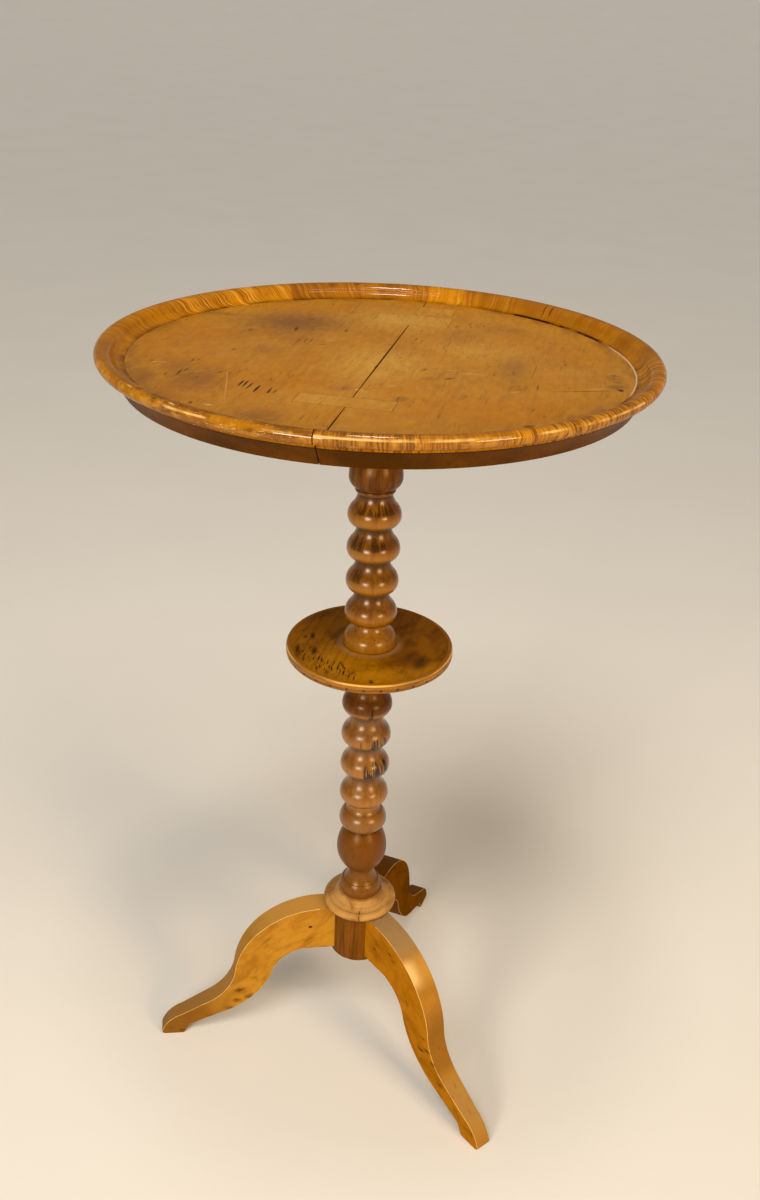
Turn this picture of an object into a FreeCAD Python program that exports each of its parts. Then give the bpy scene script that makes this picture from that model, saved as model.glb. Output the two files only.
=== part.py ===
import FreeCAD, Part
import math
import os
import re

import Sketcher

# Driving sizes in millimetres and degrees. Heights build up from the floor, radii from the column's axis.
SIZES = {
    # hub and collar
    "hub_floor_gap": 105,
    "hub_length": 60,
    "hub_radius": 29,
    "hub_bevel": 1.5,
    "collar_radius": 37,
    "collar_height": 15.5,
    "collar_lip_radius": 4.2,
    "collar_quirk": 1.5,
    "collar_hollow_arc": 16,
    "collar_fillet_radius": 22.3,
    "collar_fillet_height": 1,
    # legs, drawn from the column's axis outwards
    "leg_thickness": 23.5,
    "leg_reach": 210,
    "leg_root_drop": 1,
    "leg_root_height": 52,
    "crown_reach": 42,
    "knee_reach": 130.5,
    "knee_drop": 78,
    "knee_arc": 90,
    "instep_length": 50,
    "instep_height": 43,
    "instep_arc": 56,
    "toe_length": 22,
    "toe_height": 27,
    "toe_arc": 36,
    "nose_height": 4,
    "nose_round": 4,
    "arch_reach": 58,
    "arch_arc": 42,
    "ankle_reach": 93,
    "ankle_drop": 33,
    "ankle_arc": 94,
    "sole_length": 70,
    "sole_height": 30,
    "heel_length": 30,
    "heel_height": 12.5,
    "pad_length": 19,
    "taper_reach": 105,
    "toe_thickness": 16,
    "dovetail_depth": 9,
    "dovetail_neck": 9,
    "dovetail_width": 13,
    "dovetail_stop": 10,
    "dovetail_root": 4,
    # turned columns
    "neck_radius": 15,
    "bead_radius": 23.8,
    "bead_belly_height": 9.5,
    "bead_shoulder_rise": 10,
    "bead_shoulder_radius": 20,
    "bead_cove_arc": 20,
    "spigot_radius": 11,
    "shelf_spigot_radius": 9,
    "spigot_fit": 0.1,
    "spigot_end_room": 1.5,
    "hub_spigot_length": 40,
    "torus_foot_radius": 19.5,
    "torus_radius": 21.2,
    "torus_belly_height": 7,
    "torus_height": 15.5,
    "torus_top_radius": 18.2,
    "ring_step": 0.8,
    "base_cove_height": 17,
    "base_cove_arc": 18,
    "bulb_radius": 25,
    "bulb_belly_height": 23.5,
    "bulb_height": 50,
    "bulb_shoulder_radius": 15.5,
    "low_bead_radius": 23.4,
    "low_bead_belly_height": 9.5,
    "low_bead_height": 20.5,
    "low_bead_top_radius": 18.6,
    "low_cove_height": 10.8,
    "low_cove_arc": 11,
    "lower_bead_pitch": 34.3,
    "shelf_seat_radius": 17,
    "seat_bead_height": 31.5,
    "shelf_spigot_length": 30,
    "dome_foot_radius": 23.8,
    "dome_radius": 24.6,
    "dome_belly_height": 4,
    "dome_cove_arc": 14.8,
    "dome_height": 23,
    "upper_bead_pitch": 31.65,
    "astragal_radius": 17.8,
    "astragal_height": 4,
    "ball_foot_radius": 16.8,
    "ball_radius": 23.5,
    "ball_belly_height": 9.5,
    "ball_height": 33,
    "capital_height": 38.4,
    "capital_radius": 25,
    "capital_arc": 60,
    # shelf
    "shelf_radius": 76.5,
    "shelf_thickness": 9,
    "shelf_band": 4,
    "shelf_edge_round": 2.2,
    "shelf_quirk": 0.6,
    "pin_radius": 0.8,
    "pin_length": 7,
    # mounting block under the top
    "block_radius": 60,
    "block_thickness": 24,
    "block_edge_round": 9,
    "wedge_thickness": 3.2,
    "wedge_tip": 1,
    "wedge_length": 17,
    "screw_inset": 18,
    "screw_radius": 2,
    "screw_head_radius": 4.2,
    "screw_head_height": 2.6,
    "screw_sink": 3,
    "screw_cover": 5.5,
    "screw_fit": 0.1,
    # top
    "top_radius": 227,
    "core_thickness": 15.5,
    "leaf_thickness": 1.5,
    "rim_width": 23,
    "rim_rise": 12,
    "rim_lip": 0.5,
    "rim_cove_width": 9,
    "rim_cove_rise": 6.2,
    "quirk_height": 3.1,
    "quirk_depth": 3.2,
    "fascia_inset": 11,
    "fascia_hollow_arc": 60,
    "fascia_band": 3,
    "glue_line": 0.1,
    # layout of the field, across the grain from the axis and along it
    "grain_turn": 19.8,
    "split_offset": 2.3,
    "split_width": 0.8,
    "left_leaf_width": 107,
    "right_leaf_width": 73,
    "cross_joint": -50,
    "cross_slant": 22,
    "key_depth": 4,
    "front_key_left": -37.5,
    "front_key_right": 36.5,
    "front_key_inset": 69,
    "front_key_length": 24,
    "back_key_left": -33,
    "back_key_right": 37,
    "back_key_inset": 54,
    "back_key_length": 38,
    "strip_left": -1,
    "strip_right": 35,
    "strip_inset": 18,
    "strip_length": 33,
    "short_piece_angle": 9.3,
}

LOWER_BEADS = 4
UPPER_BEADS = 4
EDGE_PINS = 32
RIM_PIECES_EACH_SIDE = 5
LEG_ANGLES = {"leg_left": 180, "leg_front": -60, "leg_back": 60}
SCREW_ANGLES = (45, 135, 225, 315)

# Heights and radii that follow from the driving sizes
DERIVED = {
    "hub_top": "hub_floor_gap + hub_length",
    "collar_top": "hub_top + collar_height",
    "root_top": "hub_top - leg_root_drop",
    "root_under": "root_top - leg_root_height",
    "knee_height": "root_top - knee_drop",
    "ankle_height": "root_under - ankle_drop",
    "pad_front": "leg_reach - nose_round",
    "spigot_bore": "spigot_radius + spigot_fit",
    "shelf_spigot_bore": "shelf_spigot_radius + spigot_fit",
    "hub_spigot_foot": "collar_top - hub_spigot_length",
    "shelf_spigot_head": "shelf_top + shelf_spigot_length",
    "torus_top": "collar_top + torus_height",
    "bulb_foot": "torus_top + base_cove_height",
    "low_bead_foot": "bulb_foot + bulb_height",
    "low_bead_top": "low_bead_foot + low_bead_height",
    "lower_beads_foot": "low_bead_top + low_cove_height",
    "lower_beads_top": f"lower_beads_foot + {LOWER_BEADS} * lower_bead_pitch",
    "shelf_under": "lower_beads_top + seat_bead_height",
    "shelf_top": "shelf_under + shelf_thickness",
    "upper_beads_foot": "shelf_top + dome_height",
    "upper_beads_top": f"upper_beads_foot + {UPPER_BEADS} * upper_bead_pitch",
    "ball_foot": "upper_beads_top + astragal_height",
    "ball_top": "ball_foot + ball_height",
    "capital_top": "ball_top + capital_height",
    "block_top": "capital_top + block_thickness",
    "core_top": "block_top + core_thickness",
    "field_top": "core_top + leaf_thickness",
    "rim_crest": "field_top + rim_rise",
    "field_radius": "top_radius - rim_width",
    "nosing_under": "core_top + quirk_height",
    "nosing_radius": "(leaf_thickness + rim_rise - quirk_height) / 2",
    "nosing_centre": "top_radius - nosing_radius",
    "quirk_radius": "nosing_centre - quirk_depth",
    "fascia_foot_radius": "quirk_radius - fascia_inset",
    "screw_circle": "block_radius - screw_inset",
    "left_joint": "left_leaf_width - field_radius",
    "right_joint": "field_radius - right_leaf_width",
    "front_key_near": "front_key_inset - field_radius",
    "back_key_near": "field_radius - back_key_inset - back_key_length",
    "strip_near": "field_radius - strip_inset - strip_length",
    "left_of_split": "split_offset - split_width / 2",
    "right_of_split": "split_offset + split_width / 2",
    "key_floor": "field_top - key_depth",
}

doc = FreeCAD.newDocument("wine_table")
sheet = doc.addObject("Spreadsheet::Sheet", "Sizes")
for row, (alias, value) in enumerate(SIZES.items(), start=1):
    sheet.set(f"A{row}", alias)
    sheet.set(f"B{row}", str(value))
    sheet.setAlias(f"B{row}", alias)
doc.recompute()

nodes = []


def formula(words):
    """A sheet expression from size names, with derived names written out."""

    def expand(match):
        word = match.group(0)
        if word in DERIVED:
            return f"({formula(DERIVED[word])})"
        return f"Sizes.{word}" if word in SIZES else word

    return re.sub(r"[a-z_]+", expand, words)


def number(words):
    return float(sheet.evalExpression(formula(words)))


def bind(item, **properties):
    """Ties properties to the sheet. A double underscore stands for a dot in the property's path."""
    for path, words in properties.items():
        item.setExpression(path.replace("__", "."), formula(words))


def keep(item, label):
    """Lists an object as one finished piece of the table."""
    item.Label = label
    nodes.append(item)
    return item


def swell(rise, run):
    """Radius of the arc that leaves a belly square to it and draws in by rise over the length run."""
    return f"((({rise})^2 + ({run})^2) / (2 * ({rise})))"


def arc_between(start, end, radius):
    """Arc under a half circle: a positive radius keeps its centre left of the way, a negative one right."""
    chord = end - start
    left = FreeCAD.Vector(-chord.y, chord.x, 0).normalize()
    offset = math.copysign(math.sqrt(max(radius**2 - (chord.Length / 2) ** 2, 0)), radius)
    centre = (start + end) * 0.5 + left * offset
    ends = (start, end) if radius > 0 else (end, start)
    first, last = (math.atan2(point.y - centre.y, point.x - centre.x) for point in ends)
    if last < first:
        last += 2 * math.pi
    return Part.ArcOfCircle(Part.Circle(centre, FreeCAD.Vector(0, 0, 1), abs(radius)), first, last)


def sketch_on(body, role, corners, lift="0"):
    """A closed counterclockwise sketch on one of the body's planes.

    Each corner is (x, y) or (x, y, radius of the arc to the next corner), in size names.
    A positive radius swells outwards and a negative one hollows inwards.
    """
    sketch = body.newObject("Sketcher::SketchObject", f"{body.Name}_sketch")
    plane = [item for item in body.Origin.OriginFeatures if item.Role == role][0]
    sketch.AttachmentSupport = (plane, [""])
    sketch.MapMode = "FlatFace"
    if lift != "0":
        bind(sketch, AttachmentOffset__Base__z=lift)
    points = [FreeCAD.Vector(number(corner[0]), number(corner[1]), 0) for corner in corners]
    geometry = []
    ends = []
    for index, corner in enumerate(corners):
        start, end = points[index], points[(index + 1) % len(points)]
        if len(corner) == 2:
            geometry.append(Part.LineSegment(start, end))
            ends.append((1, 2))
        else:
            radius = number(corner[2])
            geometry.append(arc_between(start, end, radius))
            ends.append((1, 2) if radius > 0 else (2, 1))
    sketch.addGeometry(geometry, False)
    for index, corner in enumerate(corners):
        following = (index + 1) % len(corners)
        here = (index, ends[index][0])
        sketch.addConstraint(
            Sketcher.Constraint("Coincident", index, ends[index][1], following, ends[following][0])
        )
        for kind, words, value in (
            ("DistanceX", corner[0], points[index].x),
            ("DistanceY", corner[1], points[index].y),
        ):
            which = sketch.addConstraint(Sketcher.Constraint(kind, *here, value))
            sketch.setExpression(f"Constraints[{which}]", formula(words))
        if len(corner) == 3:
            which = sketch.addConstraint(Sketcher.Constraint("Radius", index, geometry[index].Radius))
            sketch.setExpression(f"Constraints[{which}]", formula(f"abs({corner[2]})"))
    return sketch


def new_body(name):
    return doc.addObject("PartDesign::Body", name)


def turned(name, corners, angle="360"):
    """A body turned about the column's axis from its half profile."""
    body = new_body(name)
    sketch = sketch_on(body, "XZ_Plane", corners)
    turn = body.newObject("PartDesign::Revolution", f"{name}_turning")
    turn.Profile = sketch
    turn.ReferenceAxis = (sketch, ["V_Axis"])
    bind(turn, Angle=angle)
    return body


def padded(body, role, corners, length, lift="0", side="One side"):
    pad = body.newObject("PartDesign::Pad", f"{body.Name}_pad")
    pad.Profile = sketch_on(body, role, corners, lift)
    pad.SideType = side
    bind(pad, Length=length)
    return pad


def pocketed(body, role, corners, length, lift="0", side="One side"):
    """Cuts upwards from the sketch, or to both sides of it."""
    pocket = body.newObject("PartDesign::Pocket", f"{body.Name}_pocket")
    pocket.Profile = sketch_on(body, role, corners, lift)
    pocket.SideType = side
    pocket.Reversed = side == "One side"
    bind(pocket, Length=length)
    return pocket


def cylinder(name, radius, height, base, spin=0, tilt=0):
    """A cylinder stood at base, tipped over towards its spin angle about the axis."""
    item = doc.addObject("Part::Cylinder", name)
    bind(item, Radius=radius, Height=height)
    item.Placement = FreeCAD.Placement(FreeCAD.Vector(), FreeCAD.Rotation(spin, tilt, 0))
    bind(item, Placement__Base__x=base[0], Placement__Base__y=base[1], Placement__Base__z=base[2])
    return item


def box(name, across, along, up):
    """A box between (low, high) pairs across the grain, along it and upwards."""
    item = doc.addObject("Part::Box", name)
    sides = zip(("Length", "Width", "Height"), ("x", "y", "z"), (across, along, up))
    for side, axis, (low, high) in sides:
        bind(item, **{side: f"({high}) - ({low})", f"Placement__Base__{axis}": low})
    return item


def group(name, items):
    compound = doc.addObject("Part::Compound", name)
    compound.Links = items
    return compound


def cut(name, base, tool):
    item = doc.addObject("Part::Cut", name)
    item.Base = base
    item.Tool = tool
    return item


def shared(name, *items):
    item = doc.addObject("Part::MultiCommon", name)
    item.Shapes = list(items)
    return item


def turn_about_upright(item, angle, hand=1):
    """Turns an object about the upright through its own base, counterclockwise from above if hand is 1."""
    upright = FreeCAD.Vector(0, 0, hand)
    item.Placement = FreeCAD.Placement(item.Placement.Base, FreeCAD.Rotation(upright, number(angle)))
    bind(item, Placement__Rotation__Angle=angle)
    return item


def with_the_grain(item):
    """Turns a piece drawn across and along the grain to where the grain lies on the table."""
    return turn_about_upright(item, "grain_turn", hand=-1)


def make_hub():
    hub = turned(
        "hub",
        [
            ("0", "hub_floor_gap"),
            ("hub_radius - hub_bevel", "hub_floor_gap"),
            ("hub_radius", "hub_floor_gap + hub_bevel"),
            ("hub_radius", "hub_top"),
            ("spigot_bore", "hub_top"),
            ("spigot_bore", "hub_spigot_foot - spigot_end_room"),
            ("0", "hub_spigot_foot - spigot_end_room"),
        ],
    )
    socket = pocketed(
        hub,
        "XY_Plane",
        dovetail("0"),
        "root_top - dovetail_stop - hub_floor_gap + glue_line",
        lift="hub_floor_gap",
    )
    sockets = hub.newObject("PartDesign::PolarPattern", "hub_sockets")
    sockets.Originals = [socket]
    sockets.Axis = (hub.Tip.Profile[0], ["N_Axis"])
    sockets.Angle = 360
    sockets.Occurrences = len(LEG_ANGLES)
    hub.Tip = sockets
    first_leg = min(LEG_ANGLES.values())
    hub.Placement = FreeCAD.Placement(FreeCAD.Vector(), FreeCAD.Rotation(first_leg, 0, 0))
    return keep(hub, "hub")


def dovetail(fit):
    """Plan of the sliding dovetail, widest at its inner end."""
    inner = "hub_radius - dovetail_depth"
    outer = "hub_radius + dovetail_root"
    return [
        (inner, f"-dovetail_width / 2 + {fit}"),
        ("hub_radius - glue_line", f"-dovetail_neck / 2 + {fit}"),
        (outer, f"-dovetail_neck / 2 + {fit}"),
        (outer, f"dovetail_neck / 2 - {fit}"),
        ("hub_radius - glue_line", f"dovetail_neck / 2 - {fit}"),
        (inner, f"dovetail_width / 2 - {fit}"),
    ]


def make_leg(name, angle):
    leg = new_body(name)
    padded(
        leg,
        "XZ_Plane",
        [
            ("hub_radius / 2", "root_under"),
            ("arch_reach", "root_under", "-arch_arc"),
            ("ankle_reach", "ankle_height", "ankle_arc"),
            ("leg_reach - sole_length", "sole_height"),
            ("leg_reach - heel_length", "heel_height"),
            ("pad_front - pad_length", "0"),
            ("pad_front", "0", swell("nose_height", "nose_round")),
            ("leg_reach", "nose_height", "toe_arc"),
            ("leg_reach - toe_length", "toe_height"),
            ("leg_reach - instep_length", "instep_height", "-instep_arc"),
            ("knee_reach", "knee_height", "knee_arc"),
            ("crown_reach", "root_top"),
            ("hub_radius / 2", "root_top"),
        ],
        "leg_thickness",
        side="Symmetric",
    )
    cope = "hub_radius + glue_line"
    pocketed(
        leg,
        "XY_Plane",
        [(cope, "0", cope), ("0", cope, cope), (f"-({cope})", "0", cope), ("0", f"-({cope})", cope)],
        "4 * hub_top",
        side="Symmetric",
    )
    for hand in (1, -1):
        taper = [
            ("taper_reach", f"{hand} * leg_thickness / 2"),
            ("leg_reach", f"{hand} * toe_thickness / 2"),
            ("leg_reach", f"{hand} * leg_thickness"),
            ("taper_reach", f"{hand} * leg_thickness"),
        ]
        pocketed(leg, "XY_Plane", taper if hand > 0 else taper[::-1], "4 * hub_top", side="Symmetric")
    padded(
        leg,
        "XY_Plane",
        dovetail("glue_line"),
        "leg_root_height - dovetail_stop",
        lift="root_under",
    )
    leg.Placement = FreeCAD.Placement(FreeCAD.Vector(), FreeCAD.Rotation(angle, 0, 0))
    return keep(leg, name)


def make_collar():
    lip = "collar_radius - collar_lip_radius"
    corners = [
        ("spigot_bore", "hub_top"),
        (lip, "hub_top", "collar_lip_radius"),
        ("collar_radius", "hub_top + collar_lip_radius", "collar_lip_radius"),
        (lip, "hub_top + 2 * collar_lip_radius"),
        (f"{lip} - collar_quirk", "hub_top + 2 * collar_lip_radius", "-collar_hollow_arc"),
        ("collar_fillet_radius", "collar_top - collar_fillet_height"),
        ("collar_fillet_radius", "collar_top"),
        ("spigot_bore", "collar_top"),
    ]
    return keep(turned("collar_ring", corners), "collar_ring")


def bead(foot):
    """Corners of one bead above its foot: the belly, the shoulder and the cove to the neck above."""
    belly = f"{foot} + bead_belly_height"
    return [
        ("neck_radius", foot, swell("bead_radius - neck_radius", "bead_belly_height")),
        ("bead_radius", belly, swell("bead_radius - bead_shoulder_radius", "bead_shoulder_rise")),
        ("bead_shoulder_radius", f"{belly} + bead_shoulder_rise", "-bead_cove_arc"),
    ]


def bead_row(count, foot, pitch):
    """Corners of a row of equal beads with coves between them."""
    return [corner for index in range(count) for corner in bead(f"{foot} + {index} * {pitch}")]


def make_lower_column():
    corners = [
        ("0", "hub_spigot_foot"),
        ("spigot_radius", "hub_spigot_foot"),
        ("spigot_radius", "collar_top"),
        ("torus_foot_radius", "collar_top", swell("torus_radius - torus_foot_radius", "torus_belly_height")),
        (
            "torus_radius",
            "collar_top + torus_belly_height",
            swell("torus_radius - torus_top_radius", "torus_height - torus_belly_height"),
        ),
        ("torus_top_radius", "torus_top"),
        ("torus_top_radius - ring_step", "torus_top", "-base_cove_arc"),
        ("neck_radius", "bulb_foot", swell("bulb_radius - neck_radius", "bulb_belly_height")),
        (
            "bulb_radius",
            "bulb_foot + bulb_belly_height",
            swell("bulb_radius - bulb_shoulder_radius", "bulb_height - bulb_belly_height"),
        ),
        (
            "bulb_shoulder_radius",
            "low_bead_foot",
            swell("low_bead_radius - bulb_shoulder_radius", "low_bead_belly_height"),
        ),
        (
            "low_bead_radius",
            "low_bead_foot + low_bead_belly_height",
            swell("low_bead_radius - low_bead_top_radius", "low_bead_height - low_bead_belly_height"),
        ),
        ("low_bead_top_radius", "low_bead_top"),
        ("low_bead_top_radius - ring_step", "low_bead_top", "-low_cove_arc"),
        *bead_row(LOWER_BEADS, "lower_beads_foot", "lower_bead_pitch"),
        *bead("lower_beads_top"),
        ("shelf_seat_radius", "shelf_under"),
        ("shelf_spigot_radius", "shelf_under"),
        ("shelf_spigot_radius", "shelf_spigot_head"),
        ("0", "shelf_spigot_head"),
    ]
    return keep(turned("lower_column", corners), "lower_column")


def make_shelf():
    edge = "shelf_radius - shelf_edge_round"
    inner = "shelf_radius - shelf_band"
    quirk = "shelf_top - shelf_edge_round"
    disc = turned(
        "shelf_blank",
        [
            ("shelf_spigot_bore", "shelf_under"),
            (f"{inner} - glue_line", "shelf_under"),
            (f"{inner} - glue_line", "shelf_top"),
            ("shelf_spigot_bore", "shelf_top"),
        ],
    )
    band = turned(
        "shelf_band_blank",
        [
            (inner, "shelf_under"),
            (edge, "shelf_under", "shelf_edge_round"),
            ("shelf_radius", "shelf_under + shelf_edge_round"),
            ("shelf_radius", f"{quirk} - 2 * shelf_quirk"),
            ("shelf_radius - shelf_quirk", f"{quirk} - shelf_quirk"),
            ("shelf_radius", quirk, "shelf_edge_round"),
            (edge, "shelf_top"),
            (inner, "shelf_top"),
        ],
    )
    pins = []
    sockets = []
    for index in range(EDGE_PINS):
        angle = index * 360 / EDGE_PINS
        head = "(shelf_radius - pin_length)"
        middle = "shelf_under + (shelf_thickness - shelf_edge_round) / 2"
        base = (f"{head} * cos({angle})", f"{head} * sin({angle})", middle)
        pins.append(cylinder("edge_pin", "pin_radius", "pin_length", base, angle, 90))
        sockets.append(cylinder("pin_socket", "pin_radius", "2 * pin_length", base, angle, 90))
    socket_group = group("pin_sockets", sockets)
    keep(cut("shelf_disc", disc, socket_group), "shelf_disc")
    keep(cut("shelf_edge_band", band, socket_group), "shelf_edge_band")
    return keep(group("shelf_edge_pins", pins), "shelf_edge_pins")


def make_upper_column():
    bore_end = "shelf_spigot_head + spigot_end_room"
    dome_belly = "shelf_top + dome_belly_height"
    corners = [
        ("shelf_spigot_bore", "shelf_top"),
        ("dome_foot_radius", "shelf_top", swell("dome_radius - dome_foot_radius", "dome_belly_height")),
        ("dome_radius", dome_belly, swell("dome_radius - bead_shoulder_radius", "bead_shoulder_rise")),
        ("bead_shoulder_radius", f"{dome_belly} + bead_shoulder_rise", "-dome_cove_arc"),
        *bead_row(UPPER_BEADS, "upper_beads_foot", "upper_bead_pitch"),
        ("neck_radius", "upper_beads_top"),
        (
            "ball_foot_radius",
            "upper_beads_top",
            swell("astragal_radius - ball_foot_radius", "astragal_height / 2"),
        ),
        ("ball_foot_radius", "ball_foot", swell("ball_radius - ball_foot_radius", "ball_belly_height")),
        (
            "ball_radius",
            "ball_foot + ball_belly_height",
            swell("ball_radius - neck_radius", "ball_height - ball_belly_height"),
        ),
        ("neck_radius", "ball_top", "-capital_arc"),
        ("capital_radius", "capital_top"),
        ("spigot_radius", "capital_top"),
        ("spigot_radius", "block_top"),
        ("0", "block_top"),
        ("0", bore_end),
        ("shelf_spigot_bore", bore_end),
    ]
    column = turned("upper_column", corners)
    pocketed(column, "XZ_Plane", wedge_plan(), "4 * spigot_radius", side="Symmetric")
    return keep(column, "upper_column")


def wedge_plan():
    """Side view of the wedge that spreads the column's top spigot, thick end up."""
    return [
        ("-wedge_tip / 2", "block_top - wedge_length"),
        ("wedge_tip / 2", "block_top - wedge_length"),
        ("wedge_thickness / 2", "block_top"),
        ("-wedge_thickness / 2", "block_top"),
    ]


def make_wedge():
    blank = new_body("wedge_blank")
    padded(blank, "XZ_Plane", wedge_plan(), "4 * spigot_radius", side="Symmetric")
    barrel = cylinder("wedge_barrel", "spigot_radius", "wedge_length", ("0", "0", "block_top - wedge_length"))
    return keep(shared("spigot_wedge", blank, barrel), "spigot_wedge")


def make_screws(name, fit, sink):
    """Countersunk screws up through the block into the core, or their holes with sink open to below."""
    items = []
    for angle in SCREW_ANGLES:
        place = (f"screw_circle * cos({angle})", f"screw_circle * sin({angle})")
        foot = "capital_top + screw_sink"
        shank_length = f"block_thickness - screw_sink + core_thickness - screw_cover + {fit}"
        shank = cylinder(f"{name}_shank", f"screw_radius + {fit}", shank_length, (*place, foot))
        head = doc.addObject("Part::Cone", f"{name}_head")
        bind(head, Radius1=f"screw_head_radius + {fit}", Radius2=f"screw_radius + {fit}")
        bind(head, Height="screw_head_height", Placement__Base__z=foot)
        bind(head, Placement__Base__x=place[0], Placement__Base__y=place[1])
        pieces = [shank, head]
        if sink:
            pieces.append(
                cylinder(f"{name}_sink", f"screw_head_radius + {fit}", "screw_sink", (*place, "capital_top"))
            )
        screw = doc.addObject("Part::MultiFuse", f"{name}_item")
        screw.Shapes = pieces
        items.append(screw)
    return group(name, items)


def make_block(screw_holes):
    edge = "block_radius - block_edge_round"
    blank = turned(
        "block_blank",
        [
            ("spigot_bore", "capital_top"),
            (edge, "capital_top", "block_edge_round"),
            ("block_radius", "capital_top + block_edge_round"),
            ("block_radius", "block_top"),
            ("spigot_bore", "block_top"),
        ],
    )
    return keep(with_the_grain(cut("block", blank, screw_holes)), "mounting_block")


def make_core(screw_holes, patches):
    """Two boards jointed at the split, drilled for the screws and recessed for the patches."""
    disc = turned(
        "core_disc",
        [
            ("0", "block_top"),
            ("fascia_foot_radius - fascia_band - glue_line", "block_top"),
            ("quirk_radius - fascia_band - glue_line", "core_top"),
            ("0", "core_top"),
        ],
    )
    sides = {
        "core_board_left": ("-top_radius", "left_of_split"),
        "core_board_right": ("right_of_split", "top_radius"),
    }
    for name, across in sides.items():
        half = box(f"{name}_half", across, ("-top_radius", "top_radius"), ("block_top", "core_top"))
        drilled = cut(f"{name}_drilled", shared(f"{name}_plain", disc, half), screw_holes)
        keep(with_the_grain(cut(f"{name}_recessed", drilled, patches)), name)


def make_field(patch_boxes, patches):
    """Veneer leaves laid edge to edge on the core, with the patches let in."""
    leaf_height = ("core_top", "field_top")
    whole = ("-top_radius", "top_radius")
    disc = cylinder("field_disc", "field_radius - glue_line", "leaf_thickness", ("0", "0", "core_top"))
    beyond = ("right_joint", "3 * top_radius"), ("cross_joint", "top_radius")
    cross = turn_about_upright(box("beyond_cross_joint", *beyond, leaf_height), "cross_slant")
    right_edge = box("right_edge_strip", ("right_joint", "top_radius"), whole, leaf_height)
    leaves = {
        "field_leaf_left_edge": box("left_edge_strip", ("-top_radius", "left_joint"), whole, leaf_height),
        "field_leaf_left": box("left_strip", ("left_joint", "left_of_split"), whole, leaf_height),
        "field_leaf_right": box("right_strip", ("right_of_split", "right_joint"), whole, leaf_height),
        "field_leaf_right_back": shared("right_back_strip", right_edge, cross),
        "field_leaf_right_front": cut("right_front_strip", right_edge, cross),
    }
    for name, blank in leaves.items():
        keep(with_the_grain(cut(f"{name}_fitted", shared(f"{name}_round", disc, blank), patches)), name)
    bounds = cylinder("patch_bounds", "field_radius - glue_line", "key_depth", ("0", "0", "key_floor"))
    for patch in patch_boxes:
        name = patch.Label.removesuffix("_blank")
        keep(with_the_grain(shared(f"{name}_patch", patch, bounds)), name)


def rim_runs():
    """Each rim piece's name, start angle and width, counterclockwise from the split at the front."""
    split = "(split_offset / quirk_radius * 180 / pi)"
    half_gap = "(split_width / 2 / quirk_radius * 180 / pi)"
    front = f"(270 + {split} - grain_turn)"
    back = f"(450 - {split} - grain_turn)"
    right_width = f"(({back} - short_piece_angle - {front}) / {RIM_PIECES_EACH_SIDE})"
    left_width = f"(({front} + 360 - {back}) / {RIM_PIECES_EACH_SIDE})"
    runs = []
    for index in range(RIM_PIECES_EACH_SIDE):
        start = f"{front} + {index} * {right_width}"
        runs.append((f"rim_right_{index + 1}", start, right_width))
    runs.append(("rim_short_piece", f"{back} - short_piece_angle", "short_piece_angle"))
    for index in range(RIM_PIECES_EACH_SIDE):
        start = f"{back} + {index} * {left_width}"
        runs.append((f"rim_left_{index + 1}", start, left_width))
    first, last = runs[0], runs[-1]
    runs[0] = (first[0], f"{first[1]} + {half_gap}", f"{first[2]} - {half_gap}")
    runs[-1] = (last[0], last[1], f"{last[2]} - {half_gap}")
    return runs


def make_rim():
    """Cross-grain pieces: a cove up from the field, a rounded crest and a half-round nosing."""
    crest_arc = swell("rim_rise - rim_cove_rise", "rim_width - nosing_radius - rim_cove_width")
    cove_arc = swell("rim_cove_rise - rim_lip", "rim_cove_width")
    corners = [
        ("field_radius", "core_top"),
        ("quirk_radius", "core_top"),
        ("quirk_radius", "nosing_under"),
        ("nosing_centre", "nosing_under", "nosing_radius"),
        ("top_radius", "nosing_under + nosing_radius", "nosing_radius"),
        ("nosing_centre", "rim_crest", crest_arc),
        ("field_radius + rim_cove_width", "field_top + rim_cove_rise", f"-{cove_arc}"),
        ("field_radius", "field_top + rim_lip"),
    ]
    joint = "glue_line / field_radius * 180 / pi"
    for name, start, width in rim_runs():
        piece = turned(name, corners, f"{width} - {joint}")
        keep(turn_about_upright(piece, start), name)


def make_fascia():
    """Sloping edge bands under the nosing, one each side of the split."""
    corners = [
        ("fascia_foot_radius - fascia_band", "block_top"),
        ("fascia_foot_radius", "block_top", "-fascia_hollow_arc"),
        ("quirk_radius", "core_top - glue_line"),
        ("quirk_radius - fascia_band", "core_top - glue_line"),
    ]
    split = "(split_offset / quirk_radius * 180 / pi)"
    gap = "(split_width / quirk_radius * 180 / pi)"
    runs = {
        "fascia_right": (f"270 + {split} + {gap} / 2 - grain_turn", f"180 - 2 * {split} - {gap}"),
        "fascia_left": (f"450 - {split} + {gap} / 2 - grain_turn", f"180 + 2 * {split} - {gap}"),
    }
    for name, (start, width) in runs.items():
        keep(turn_about_upright(turned(name, corners, width), start), name)


def make_top():
    keep(with_the_grain(make_screws("screws", "0", sink=False)), "block_screws")
    screw_holes = make_screws("screw_holes", "screw_fit", sink=True)
    patch_boxes = []
    for name, near, length, floor in (
        ("front_key", "front_key_near", "front_key_length", "key_floor"),
        ("back_key", "back_key_near", "back_key_length", "key_floor"),
        ("back_strip", "strip_near", "strip_length", "core_top"),
    ):
        side = name.replace("back_strip", "strip")
        across = (f"{side}_left", f"{side}_right")
        along = (near, f"{near} + {length}")
        patch_boxes.append(box(f"{name}_blank", across, along, (floor, "field_top")))
    patches = group("patches", patch_boxes)
    make_block(screw_holes)
    make_core(screw_holes, patches)
    make_field(patch_boxes, patches)
    make_rim()
    make_fascia()


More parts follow.
